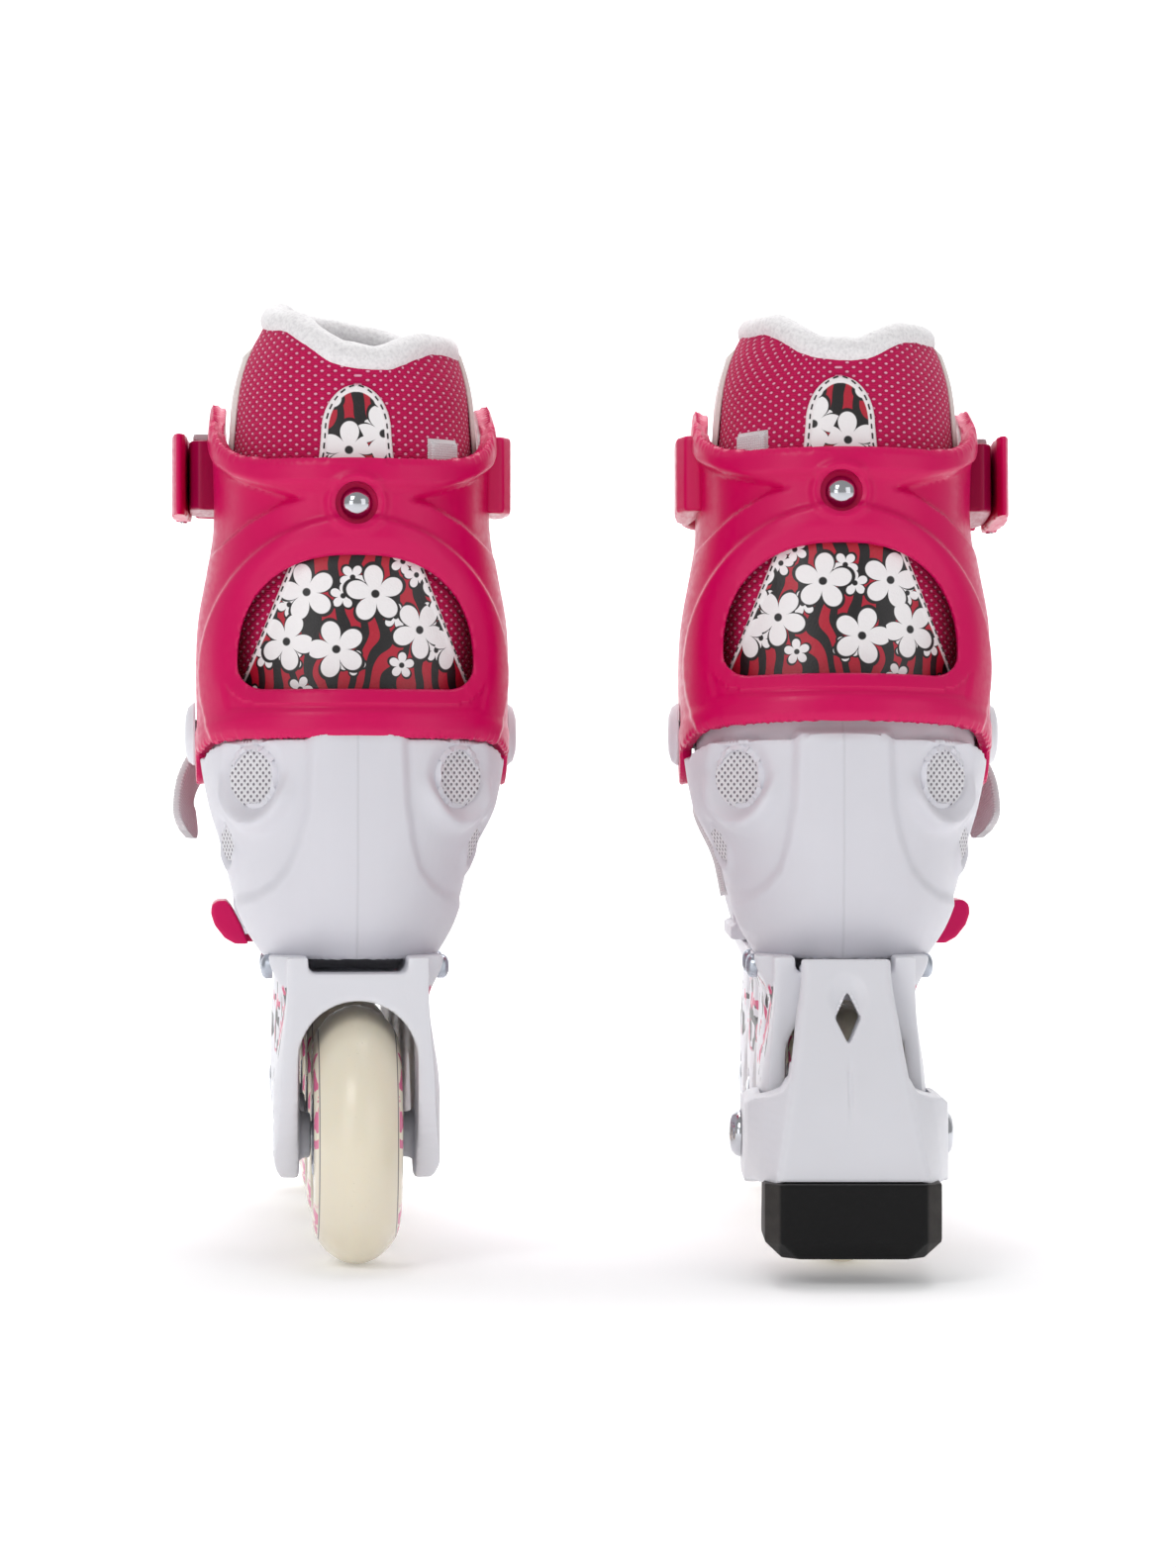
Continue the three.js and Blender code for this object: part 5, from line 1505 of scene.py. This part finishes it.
    def pieces(self, teeth: Repeats) -> list[Piece]:
        """The cuff and everything that leans with it."""
        dome = [(0, 3.6), (1.3, 3.45), (2.6, 2.9), (3.6, 1.9), (4.3, 0.7), (4.4, 0.0), (4.4, -0.8),
            (2.0, -0.8), (2.0, -4.4), (0, -4.4)]
        rivet = dome_turned(dome).moved(
            lambda p: np.stack([p[:, 1], -p[:, 0] - 5.9, p[:, 2] + self.rivet_z], axis=1))
        pin = rod((47, 71, 204.6), (47, 71, 228.0), 1.0, 16)
        tape = slab([(36.8, 43), (43.9, 43), (44.2, 45), (44.2, 70), (36.8, 70)], "z", 226.1, 228.0)
        return [Piece("cuff_visual", self.shell(), PINK_PLASTIC, "cuff_body", "pink_moulding", ("cuff",)),
            # the buckle's base is painted darker pink as the shade under the lever
            Piece("buckle_base", self.buckle_base(), PINK_IN_PAINTED_SHADE, "cuff_body", "pink_moulding"),
            Piece("buckle_lever_visual", self.lever(), PINK_PLASTIC, "lever", "pink_moulding",
            ("buckle_lever",)), Piece("ladder_strap_visual", self.ladder(teeth), PINK_PLASTIC, "cuff_body",
            "pink_moulding", ("ladder_strap",), 30),
            Piece("strap_end_block", self.end_block(), PINK_PLASTIC, "cuff_body", "pink_moulding"),
            Piece("cuff_rivet_visual", rivet, CHROME, "cuff_body", "chrome", ("cuff_rivet",), 50),
            Piece("hinge_pin", pin, CHROME, "cuff_body", "chrome"),
            Piece("strap_tape_end", melt(tape, 0.5, 2), WHITE_TAPE, "cuff_body", "white_webbing"),]


# ------------------------------------------------------------ liner


def undulation(points: np.ndarray, size: float, seed: int) -> np.ndarray:
    """Soft random hills between about -1 and 1, as wide as the given size in millimetres."""
    dice = np.random.default_rng(seed)
    total = np.zeros(len(points))
    for _ in range(9):
        way = dice.normal(size=3)
        way *= 2 * math.pi / (size * dice.uniform(0.7, 1.6) * np.linalg.norm(way))
        total += np.sin(points @ way + dice.uniform(0, 2 * math.pi))
    return total / 4.5


class LinerSkin:
    """The outside of the padded liner, read by the way round from the heel's middle and the height."""

    LEG = Rows(tuple((z, rear, heel, heel - 3, heel - 5, 52.0, toe) for z, rear, heel,
        toe in ((146, -5.2, 36.2, 84), (160, -5.4, 36.4, 83), (176, -5, 36.2, 81), (200, -3.6, 34.4, 78.5),
        (226, -3.2, 33.2, 78), (240, -2.8, 31.8, 77), (248, -1.8, 29.4, 75.5), (256, 1.0, 25.4, 73),
        (266, 4.5, 20.5, 69))))
    FOOT = Rows(((89.4, -2.5, 23.5, 22.5, 24, 150, 200), (96, -6.5, 28.8, 26.6, 27.2, 150, 208),
        (109, -9.4, 32.8, 29.4, 27.6, 143, 206), (119, -9.2, 34.2, 30.0, 25.5, 128, 188),
        (127, -8, 35, 30.5, 24, 110, 142), (138, -6.6, 35.8, 29, 27, 90, 114),
        (150, -5.8, 36.2, 28, 27, 86, 96)))
    COUNT = 200

    def __init__(self, inset: float = 0.0) -> None:
        """Tabulates the sections, drawn in by an inset."""
        self.levels = np.linspace(89.4, 266, 110)
        share = smooth(141, 156, self.levels)
        self.table = np.array([(1 - w) * self.FOOT.outline(z, inset, self.COUNT) + w
            * self.LEG.outline(z, inset, self.COUNT) for z, w in zip(self.levels, share)])
        step = np.linalg.norm(np.diff(self.table, axis=1), axis=2)
        self.way = np.concatenate([np.zeros((len(self.levels), 1)), np.cumsum(step, axis=1)], axis=1)

    def ring(self, heights: np.ndarray) -> np.ndarray:
        """A ring whose points each have their own height."""
        x = [np.interp(h, self.levels, self.table[:, i, 0]) for i, h in enumerate(heights)]
        y = [np.interp(h, self.levels, self.table[:, i, 1]) for i, h in enumerate(heights)]
        return np.column_stack([x, y, heights])

    def lengths(self, heights: np.ndarray) -> np.ndarray:
        """The way round to each point of such a ring."""
        return np.array([np.interp(h, self.levels, self.way[:, i]) for i, h in enumerate(heights)])

    def point(self, way: np.ndarray, z: np.ndarray) -> np.ndarray:
        """Points on the skin; a negative way runs round the -X side."""
        out = np.empty(way.shape + (3,))
        for index in np.ndindex(way.shape):
            k = int(np.clip(np.searchsorted(self.levels, z[index]) - 1, 0, len(self.levels) - 2))
            t = (z[index] - self.levels[k]) / (self.levels[k + 1] - self.levels[k])
            pair = [[np.interp(abs(way[index]), self.way[j], self.table[j, :, c]) for c in (0, 1)]
                for j in (k, k + 1)]
            x, y = (1 - t) * np.array(pair[0]) + t * np.array(pair[1])
            out[index] = (x if way[index] >= 0 else -x, y, z[index])
        return out

    def way_to(self, column: int, value: float, z: float) -> float:
        """The way round, on the heel's +X quarter and side, at which x (column 0) or y (column 1) has a
        value."""
        k = int(np.argmin(np.abs(self.levels - z)))
        reach = self.COUNT // 4
        return float(np.interp(value, self.table[k, :reach, column], self.way[k, :reach]))


@dataclass
class Applique:
    """A thin piece sewn on the liner between two curves that give its sides at each height."""

    skin: LinerSkin
    heights: np.ndarray
    left: np.ndarray
    right: np.ndarray
    base: float = 0.25
    thickness: float = 0.8
    fold: float = 2.2  # width of its folded edge
    across: int = 60

    def _surface(self) -> tuple[np.ndarray, np.ndarray, np.ndarray, np.ndarray]:
        """The ways, the heights, the points on the skin and the outward directions of its grid."""
        share = np.linspace(0, 1, self.across)
        way = self.left[:, None] * (1 - share) + self.right[:, None] * share
        z = np.repeat(self.heights[:, None], self.across, axis=1)
        points = self.skin.point(way, z)
        out = points - (0.0, 38.0, 0.0)
        out[..., 2] = 0
        return way, z, points, out / np.linalg.norm(out, axis=-1, keepdims=True)

    def build(self) -> tuple[Form, np.ndarray]:
        """The piece, and each of its points' way to its edge."""
        way, z, points, out = self._surface()
        rows, cols = way.shape
        border = np.concatenate([np.column_stack([self.left, self.heights]),
            np.column_stack([self.right, self.heights])[::-1], [(self.left[0], self.heights[0])]])
        edge = np.abs(beside(border, np.column_stack([way.ravel(), z.ravel()]))).reshape(rows, cols)
        round_off = np.sqrt(np.clip(1 - (1 - np.clip(edge / 0.9, 0, 1)) ** 2, 0, 1))
        lift = self.base + self.thickness * (0.25 + 0.75 * round_off) + 0.3 * smooth(self.fold,
            self.fold - 0.7, edge) * round_off
        top, under = points + out * lift[..., None], points + out * (self.base * 0.4)
        both = np.concatenate([top.reshape(-1, 3), under.reshape(-1, 3)])
        n = rows * cols
        faces = []
        for r in range(rows - 1):
            for c in range(cols - 1):
                a = r * cols + c
                faces += [(a, a + 1, a + cols + 1, a + cols),
                    (n + a, n + a + cols, n + a + cols + 1, n + a + 1)]
        ring = [(0, c) for c in range(cols)] + [(r, cols - 1) for r in range(1, rows)]
        ring += [(rows - 1, c) for c in range(cols - 2, -1, -1)] + [(r, 0) for r in range(rows - 2, 0, -1)]
        at = [r * cols + c for r, c in ring]
        faces += [(p, q, n + q, n + p) for p, q in zip(at, at[1:] + at[:1])]
        cloth = np.column_stack([way.ravel(), z.ravel()])
        return Form(both, faces, np.concatenate([cloth, cloth])), np.concatenate(
            [edge.ravel(), edge.ravel()])

    def seam(self, inside: float) -> np.ndarray:
        """A line that runs inside its edge, up one side and down the other."""
        ways = np.concatenate([self.left + inside, (self.right - inside)[::-1]])
        z = np.concatenate([self.heights, self.heights[::-1]])
        keep = np.concatenate([self.left + inside < self.right - inside] * 2)
        keep[len(self.left):] = keep[: len(self.left)][::-1]
        points = self.skin.point(ways[keep], z[keep])
        out = (points - (0.0, 38.0, 0.0)) * (1, 1, 0)
        return points + out / np.linalg.norm(out, axis=1)[:, None] * (self.base + self.thickness + 0.32)


@dataclass(frozen=True)
class Liner:
    """The padded liner: one foam skin from the foot to the leg, its plush collar, side panels and printed
    patch."""

    tilt: float  # how much higher the collar is on the outer side, as a slope
    wall: float = 6.2
    collar: float = 4.2

    def rim(self, x: np.ndarray, y: np.ndarray) -> np.ndarray:
        """The height of the collar's top."""
        saddle = flowing([-30, 0, 16, 34, 50, 62, 72, 120], [249.6, 249.6, 250.4, 253, 256, 259, 262, 262],
            y)
        return saddle + 6.5 * smooth(3, 20, np.abs(x)) * smooth(66, 34, y) + self.tilt * x

    def rings(self, skin: LinerSkin, levels: np.ndarray, sink: float) -> tuple[np.ndarray, np.ndarray]:
        """Rings of a skin whose upper ones follow the rim, with their pattern coordinates."""
        guide = skin.ring(np.full(skin.COUNT, 240.0))
        top = self.rim(guide[:, 0], guide[:, 1]) - sink
        rings, cloth = [], []
        for level in levels:
            share = max(0.0, (level - 200.0) / 50.0)
            heights = np.full(skin.COUNT, level) if share == 0 else 200.0 + (top - 200.0) * share
            rings.append(skin.ring(heights))
            way = skin.lengths(heights)
            cloth.append(np.column_stack([np.where(way > way[-1] / 2, way - way[-1], way), heights]))
        return np.array(rings), np.array(cloth)

    def body(self, skin: LinerSkin) -> tuple[Form, int]:
        """The foam skin, and its first face of lining."""
        levels = np.concatenate([np.linspace(89.4, 200, 75), np.linspace(201, 250, 40)])
        outer, outer_cloth = self.rings(skin, levels, self.collar)
        inner, inner_cloth = self.rings(LinerSkin(self.wall), levels[4:][::-1], self.collar)
        form = loft(np.concatenate([outer, inner]),
            cloth=np.concatenate([outer_cloth, inner_cloth])).moved(slimmed)
        form = embossed(form, lambda p, n: 0.32 * undulation(p, 24, 3) * smooth(120, 150, p[:, 2]))
        return form, (len(levels) - 1) * skin.COUNT

    def roll(self) -> Form:
        """The plush collar: a soft tube along the rim."""
        middle = LinerSkin(self.wall / 2 - 0.4)
        guide = middle.ring(np.full(middle.COUNT, 246.0))
        top = self.rim(guide[:, 0], guide[:, 1])
        path = middle.ring(top - self.collar)
        ahead = np.roll(path, -1, axis=0) - np.roll(path, 1, axis=0)
        ahead /= np.linalg.norm(ahead, axis=1)[:, None]
        side = np.cross(ahead, (0, 0, 1.0))
        side /= np.linalg.norm(side, axis=1)[:, None]
        up = np.cross(side, ahead)
        turn = np.linspace(0, 2 * math.pi, 40, endpoint=False)
        rings = np.array([p + self.collar * (0.97 * np.cos(turn)[:, None] * s + np.sin(turn)[:, None] * u)
            for p, s, u in zip(path, side, up)])
        closed = loft(rings, capped=False, closed=True)
        return embossed(closed, lambda p, n: 0.3 * undulation(p, 13, 5) + 0.1 * undulation(p, 2.6, 6))

    def patch(self, skin: LinerSkin) -> Applique:
        """The printed patch up the back."""
        z = np.concatenate([np.linspace(151, 225, 60),
            225 + 13 * np.sin(np.linspace(0, math.pi / 2, 22))[1:]])
        half = np.interp(z, (151, 159, 194, 219, 225), (33, 30, 16, 9.9, 9.4))
        half = np.where(z > 225, 9.4 * np.sqrt(np.clip(1 - ((z - 225) / 13.05) ** 2, 0, 1)), half)
        way = np.array([skin.way_to(0, h, level) for h, level in zip(half, z)])
        return Applique(skin, z, -way, way)

    def side_panels(self, skin: LinerSkin) -> list[Form]:
        """The cream panels at the sides of the leg."""
        z = np.linspace(190, 250, 40)
        near = np.array([skin.way_to(1, 25 - 3 * smooth(215, 240, level), level) for level in z])
        far = near + 30
        return [Applique(skin, z, *pair, across=24).build()[0] for pair in ((near, far), (-far, -near))]

    def pieces(self, stitches: Repeats) -> list[Piece]:
        """The liner's pieces; the foam skin bends at the ankle."""
        skin = LinerSkin()
        body, lining = self.body(skin)
        patch = self.patch(skin)
        form, edge = patch.build()
        stitch = rod((-0.75, 0, 0), (0.75, 0, 0), 0.24, 8)
        sewn = stitches.form(stitch, 74, DARK_THREAD, play=0.08, line=patch.seam(1.3))
        tab_z = np.linspace(208, 224, 14)
        tab = Applique(skin, tab_z, np.full(14, -31.5), np.full(14, -20.5), thickness=1.3,
            across=14).build()[0]
        share = smooth(138, 166, body.points[:, 2])
        return [Piece("liner_visual", body, PINK_AIR_MESH, "cuff_body", "pink_mesh",
            ("liner_boot", "liner_cuff"), 60, fill=0.8, lining=(GREY_LINING, lining), share=share),
            Piece("plush_collar", self.roll(), WHITE_PLUSH, "cuff_body", "white_webbing", crease=80,
            fill=0.9), Piece("back_patch", form, FLOWER_PATCH, "cuff_body", "pink_mesh", crease=50,
            to_edge=edge), Piece("patch_stitches", sewn, DARK_THREAD, "cuff_body", "black_rubber",
            crease=50), Piece("side_panels", joined(self.side_panels(skin)), PALE_LEATHER, "cuff_body",
            "white_webbing", crease=50),
            Piece("pull_tab", tab, WHITE_TAPE, "cuff_body", "white_webbing", crease=50),]


@dataclass(frozen=True)
class InstepStrap:
    """The woven strap over the instep, whose free end hangs on the outer side."""

    width: float = 25.0
    thickness: float = 2.4

    ROUTE = ((-33.5, 88, 98), (-35.8, 89, 110), (-37, 95, 127), (-29, 105, 144.5), (0, 110, 151.5),
        (29, 105, 144.5), (40.5, 96, 138), (46.0, 88, 129), (47.0, 84, 115.5))

    def piece(self) -> Piece:
        """The strap."""
        across = ((0, 1, 0), (0, 0.86, -0.5), (-0.2, 0.98, 0))
        form = band(self.ROUTE, across, self.width, self.thickness, 140, rounded=5.0).moved(slimmed)
        return Piece("instep_strap_visual", form, WHITE_TAPE, "pair", "white_webbing", ("instep_strap",),
            50)


# ------------------------------------------------------------ heel brake


@dataclass(frozen=True)
class Brake:
    """The right skate's heel brake: a tapering arm with ears on the rear axle, and its rubber pad."""

    ear: float = 22.8
    ear_wall: float = 4.4

    def wheel_room(self, half: float) -> Form:
        """The space that the rear wheel turns in."""
        return rod((-half, 0, AXLE_Z), (half, 0, AXLE_Z), 38.3, 96)

    def arm(self) -> Form:
        """The arm with its ears, hook and diamond hole."""
        z = np.linspace(27, 83.2, 24)
        stations = (27, 46, 66, 79.5, 83.2)
        half = flowing(stations, (20, 16.6, 13.6, 11.9, 11.9), z)
        back = flowing(stations, (-61, -49, -36, -28, -26), z)
        front = np.interp(z, stations, (-30, -26, -22, -20.8, -20.8))
        rings = np.array(
            [[(-h, b + 1.2, level), (-h + 1.2, b, level), (h - 1.2, b, level), (h, b + 1.2, level),
            (h, f, level), (-h, f, level)] for h, b, f, level in zip(half, back, front, z)])
        leg_room = slab([(-self.ear, 0), (self.ear, 0), (self.ear, 79), (-self.ear, 79)], "y", -20.8, 40)
        diamond = slab([(0, 75), (3.4, 68), (0, 61), (-3.4, 68)], "y", -60, 0)
        body = carve(loft(rings),
            [(Cut.TAKE, self.wheel_room(14.6)), (Cut.TAKE, leg_room), (Cut.TAKE, diamond)])
        levels = np.linspace(21, 56, 15)
        out = self.ear + self.ear_wall
        profile = ([(-62, 26.5), (-30, 25), (-9, 22.5)] + arc(0, AXLE_Z, 12.5, -70, 90)
            + [(-12, 48.5), (-24, 52), (-62, 52)])
        shoulder = [(0, 18), (23, 18), (26.4, 22), (28, 27), (28, 42.5), (27, 45.3), (24.8, 47.0),
            (21, 47.8), (17.5, 49.2), (15.5, 53), (0, 56)]
        wings = []
        for hand in (1, -1):
            wing = loft(np.array(
                [[(hand * x, y, level) for x,
                y in ((h - 1.5, b + 1.5), (h + 0.1, b + 0.4), (h + 0.55 * (out - h), b + 0.42 * (-27 - b)),
                (out - 0.7, -31), (out, -26), (out, 13), (self.ear, 13), (self.ear, -22), (h - 1.5, -24))]
                for h, b, level in zip(np.interp(levels, z, half), np.interp(levels, z, back), levels)]))
            keep = slab([(hand * x, y) for x, y in shoulder], "y", -70, 40)
            wings.append(carve(wing,
                [(Cut.KEEP, slab(profile, "x", -60, 60)), (Cut.KEEP, keep),
                (Cut.TAKE, self.wheel_room(16.2))]))
        hook = slab([(-24, 78.1), (-9, 78.1), (-9, 81.3), (-24, 81.3)], "x", -11.9, 11.9)
        whole = embossed(melt(joined([body, hook] + wings), 0.6, 2), self.relief)
        return carve(whole, [(Cut.TAKE, rod((-60, 0, AXLE_Z), (60, 0, AXLE_Z), 4.0))])

    def relief(self, points: np.ndarray, normals: np.ndarray) -> np.ndarray:
        """The dished top of the hole and the faint crease under it, on the arm's rear face."""
        rear = smooth(0.3, 0.7, -normals[:, 1])
        dish = -1.1 * smooth(6.0, 2.5, np.hypot(points[:, 0], (points[:, 2] - 73.5) * 0.9))
        crease = -0.35 * smooth(0.9, 0.2, np.abs(points[:, 0])) * smooth(60, 54, points[:, 2]) * smooth(38,
            46, points[:, 2])
        return rear * (dish + crease)

    def pad(self) -> Form:
        """The rubber pad, with its lower corners cut off."""
        def ring(z: float, half: float, rear: float) -> list[tuple[float, float, float]]:
            flat = ((-half, rear + 5), (-half + 4.5, rear), (half - 4.5, rear), (half, rear + 5),
                (half, -33), (-half, -33))
            return [(x, y, z) for x, y in flat]

        block = loft(np.array([ring(7, 18.5, -61.5), ring(11.5, 23, -64), ring(26.6, 23, -64)]))
        return melt(carve(block, [(Cut.TAKE, rod((-30, 0, AXLE_Z), (30, 0, AXLE_Z), 38.0, 96))]), 0.6, 2)

    def pieces(self) -> list[Piece]:
        """The arm and the pad."""
        return [Piece("brake_arm_visual", self.arm(), BRAKE_NYLON, "pair", "white_moulding", ("brake_arm",),
            28), Piece("brake_pad_visual", self.pad(), RUBBER, "pair", "black_rubber", ("brake_pad",), 28)]


# ------------------------------------------------------------ studio


@dataclass(frozen=True)
class Lamp:
    """A soft square light that looks at the middle of the pair."""

    name: str
    at: tuple[float, float, float]
    size: float
    watts: float
    target: tuple[float, float, float] = (0.0, 0.0, 0.13)

    def hang(self) -> None:
        """Adds the light."""
        data = bpy.data.lights.new(self.name, "AREA")
        data.size = self.size
        data.energy = self.watts
        lamp = bpy.data.objects.new(self.name, data)
        lamp.location = self.at
        lamp.rotation_euler = (Vector(self.target) - Vector(self.at)).to_track_quat("-Z", "Y").to_euler()
        bpy.context.scene.collection.objects.link(lamp)


@dataclass(frozen=True)
class Studio:
    """A white sweep under soft lamps, seen from straight behind at about shin height."""

    distance: float = 1200.0  # from the rear axles to the camera, in millimetres
    height: float = 130.0
    aside: float = -52.0
    lens: float = 101.45
    sensor: float = 36.0
    aim: float = -3.0

    LAMPS = (Lamp("key", (-0.7, -1.2, 1.05), 0.6, 4.7), Lamp("fill", (1.05, -1.1, 0.45), 0.9, 2.2),
        Lamp("low", (-0.9, -1.3, 0.22), 0.7, 2.0), Lamp("top", (0.05, 0.25, 1.15), 0.8, 4.0),
        Lamp("backdrop", (0.0, 0.9, 1.9), 1.6, 45.0, (0.0, 2.4, 0.5)))

    def build(self) -> None:
        """Adds the floor, the lamps, the surroundings and the camera."""
        profile = [(-5.0, 0.0)] + arc(1.6, 0.8, 0.8, -90, 0, 24) + [(2.4, 5.0)]
        corners = [(x, y, z) for y, z in profile for x in (-5.0, 5.0)]
        mesh = bpy.data.meshes.new("backdrop")
        mesh.from_pydata(corners, [], [(i, i + 1, i + 3, i + 2) for i in range(0, len(corners) - 2, 2)])
        mesh.shade_smooth()
        floor = bpy.data.objects.new("backdrop", mesh)
        bpy.context.scene.collection.objects.link(floor)
        paper = bpy.data.materials.new("white_backdrop_paper")
        paper.use_nodes = True
        shader = next(n for n in paper.node_tree.nodes if n.type == "BSDF_PRINCIPLED")
        shader.inputs["Base Color"].default_value = linear("#f6f6f7")
        shader.inputs["Roughness"].default_value = 0.9
        shader.inputs["Emission Color"].default_value = linear("#ffffff")
        shader.inputs["Emission Strength"].default_value = 0.18
        mesh.materials.append(paper)
        for lamp in self.LAMPS:
            lamp.hang()
        world = bpy.data.worlds.new("studio")
        world.use_nodes = True
        sky = next(n for n in world.node_tree.nodes if n.type == "BACKGROUND")
        sky.inputs["Color"].default_value = linear("#ffffff")
        sky.inputs["Strength"].default_value = 0.42
        bpy.context.scene.world = world
        bpy.context.scene.view_settings.view_transform = "Standard"
        self._camera()

    def _camera(self) -> None:
        """Adds the level camera."""
        axle_y = Skate.packed(Side.LEFT).origin[1]
        data = bpy.data.cameras.new("camera")
        data.sensor_width = self.sensor
        data.lens = self.lens
        camera = bpy.data.objects.new("camera", data)
        at = Vector((self.aside, axle_y - self.distance, self.height))
        camera.location = at * MM
        camera.rotation_euler = (Vector((self.aim, axle_y, self.height)) - at).to_track_quat("-Z",
            "Y").to_euler()
        bpy.context.scene.collection.objects.link(camera)
        bpy.context.scene.camera = camera


def main() -> None:
    """Builds both skates and the studio."""
    logging.basicConfig(level=logging.INFO, format="%(message)s")
    around, along, upright = (Repeats(layout) for layout in Layout)
    rolling = Frame()
    shared = Wheel().pieces(around) + rolling.pieces() + HeelShell().pieces() + Cuff().pieces(upright)
    shared += [ToeCap().piece(), SizeButton().piece(), InstepStrap().piece()]
    own = {Side.LEFT: [rolling.axle(1)] + Liner(tilt=0.16).pieces(along),
        Side.RIGHT: [rolling.axle(1, 27.2)] + Liner(tilt=-0.05).pieces(along) + Brake().pieces()}
    for side in Side:
        skate = Skate.packed(side)
        for piece in shared + own[side]:
            skate.place(piece)
    Studio().build()


if __name__ == "__main__":
    main()
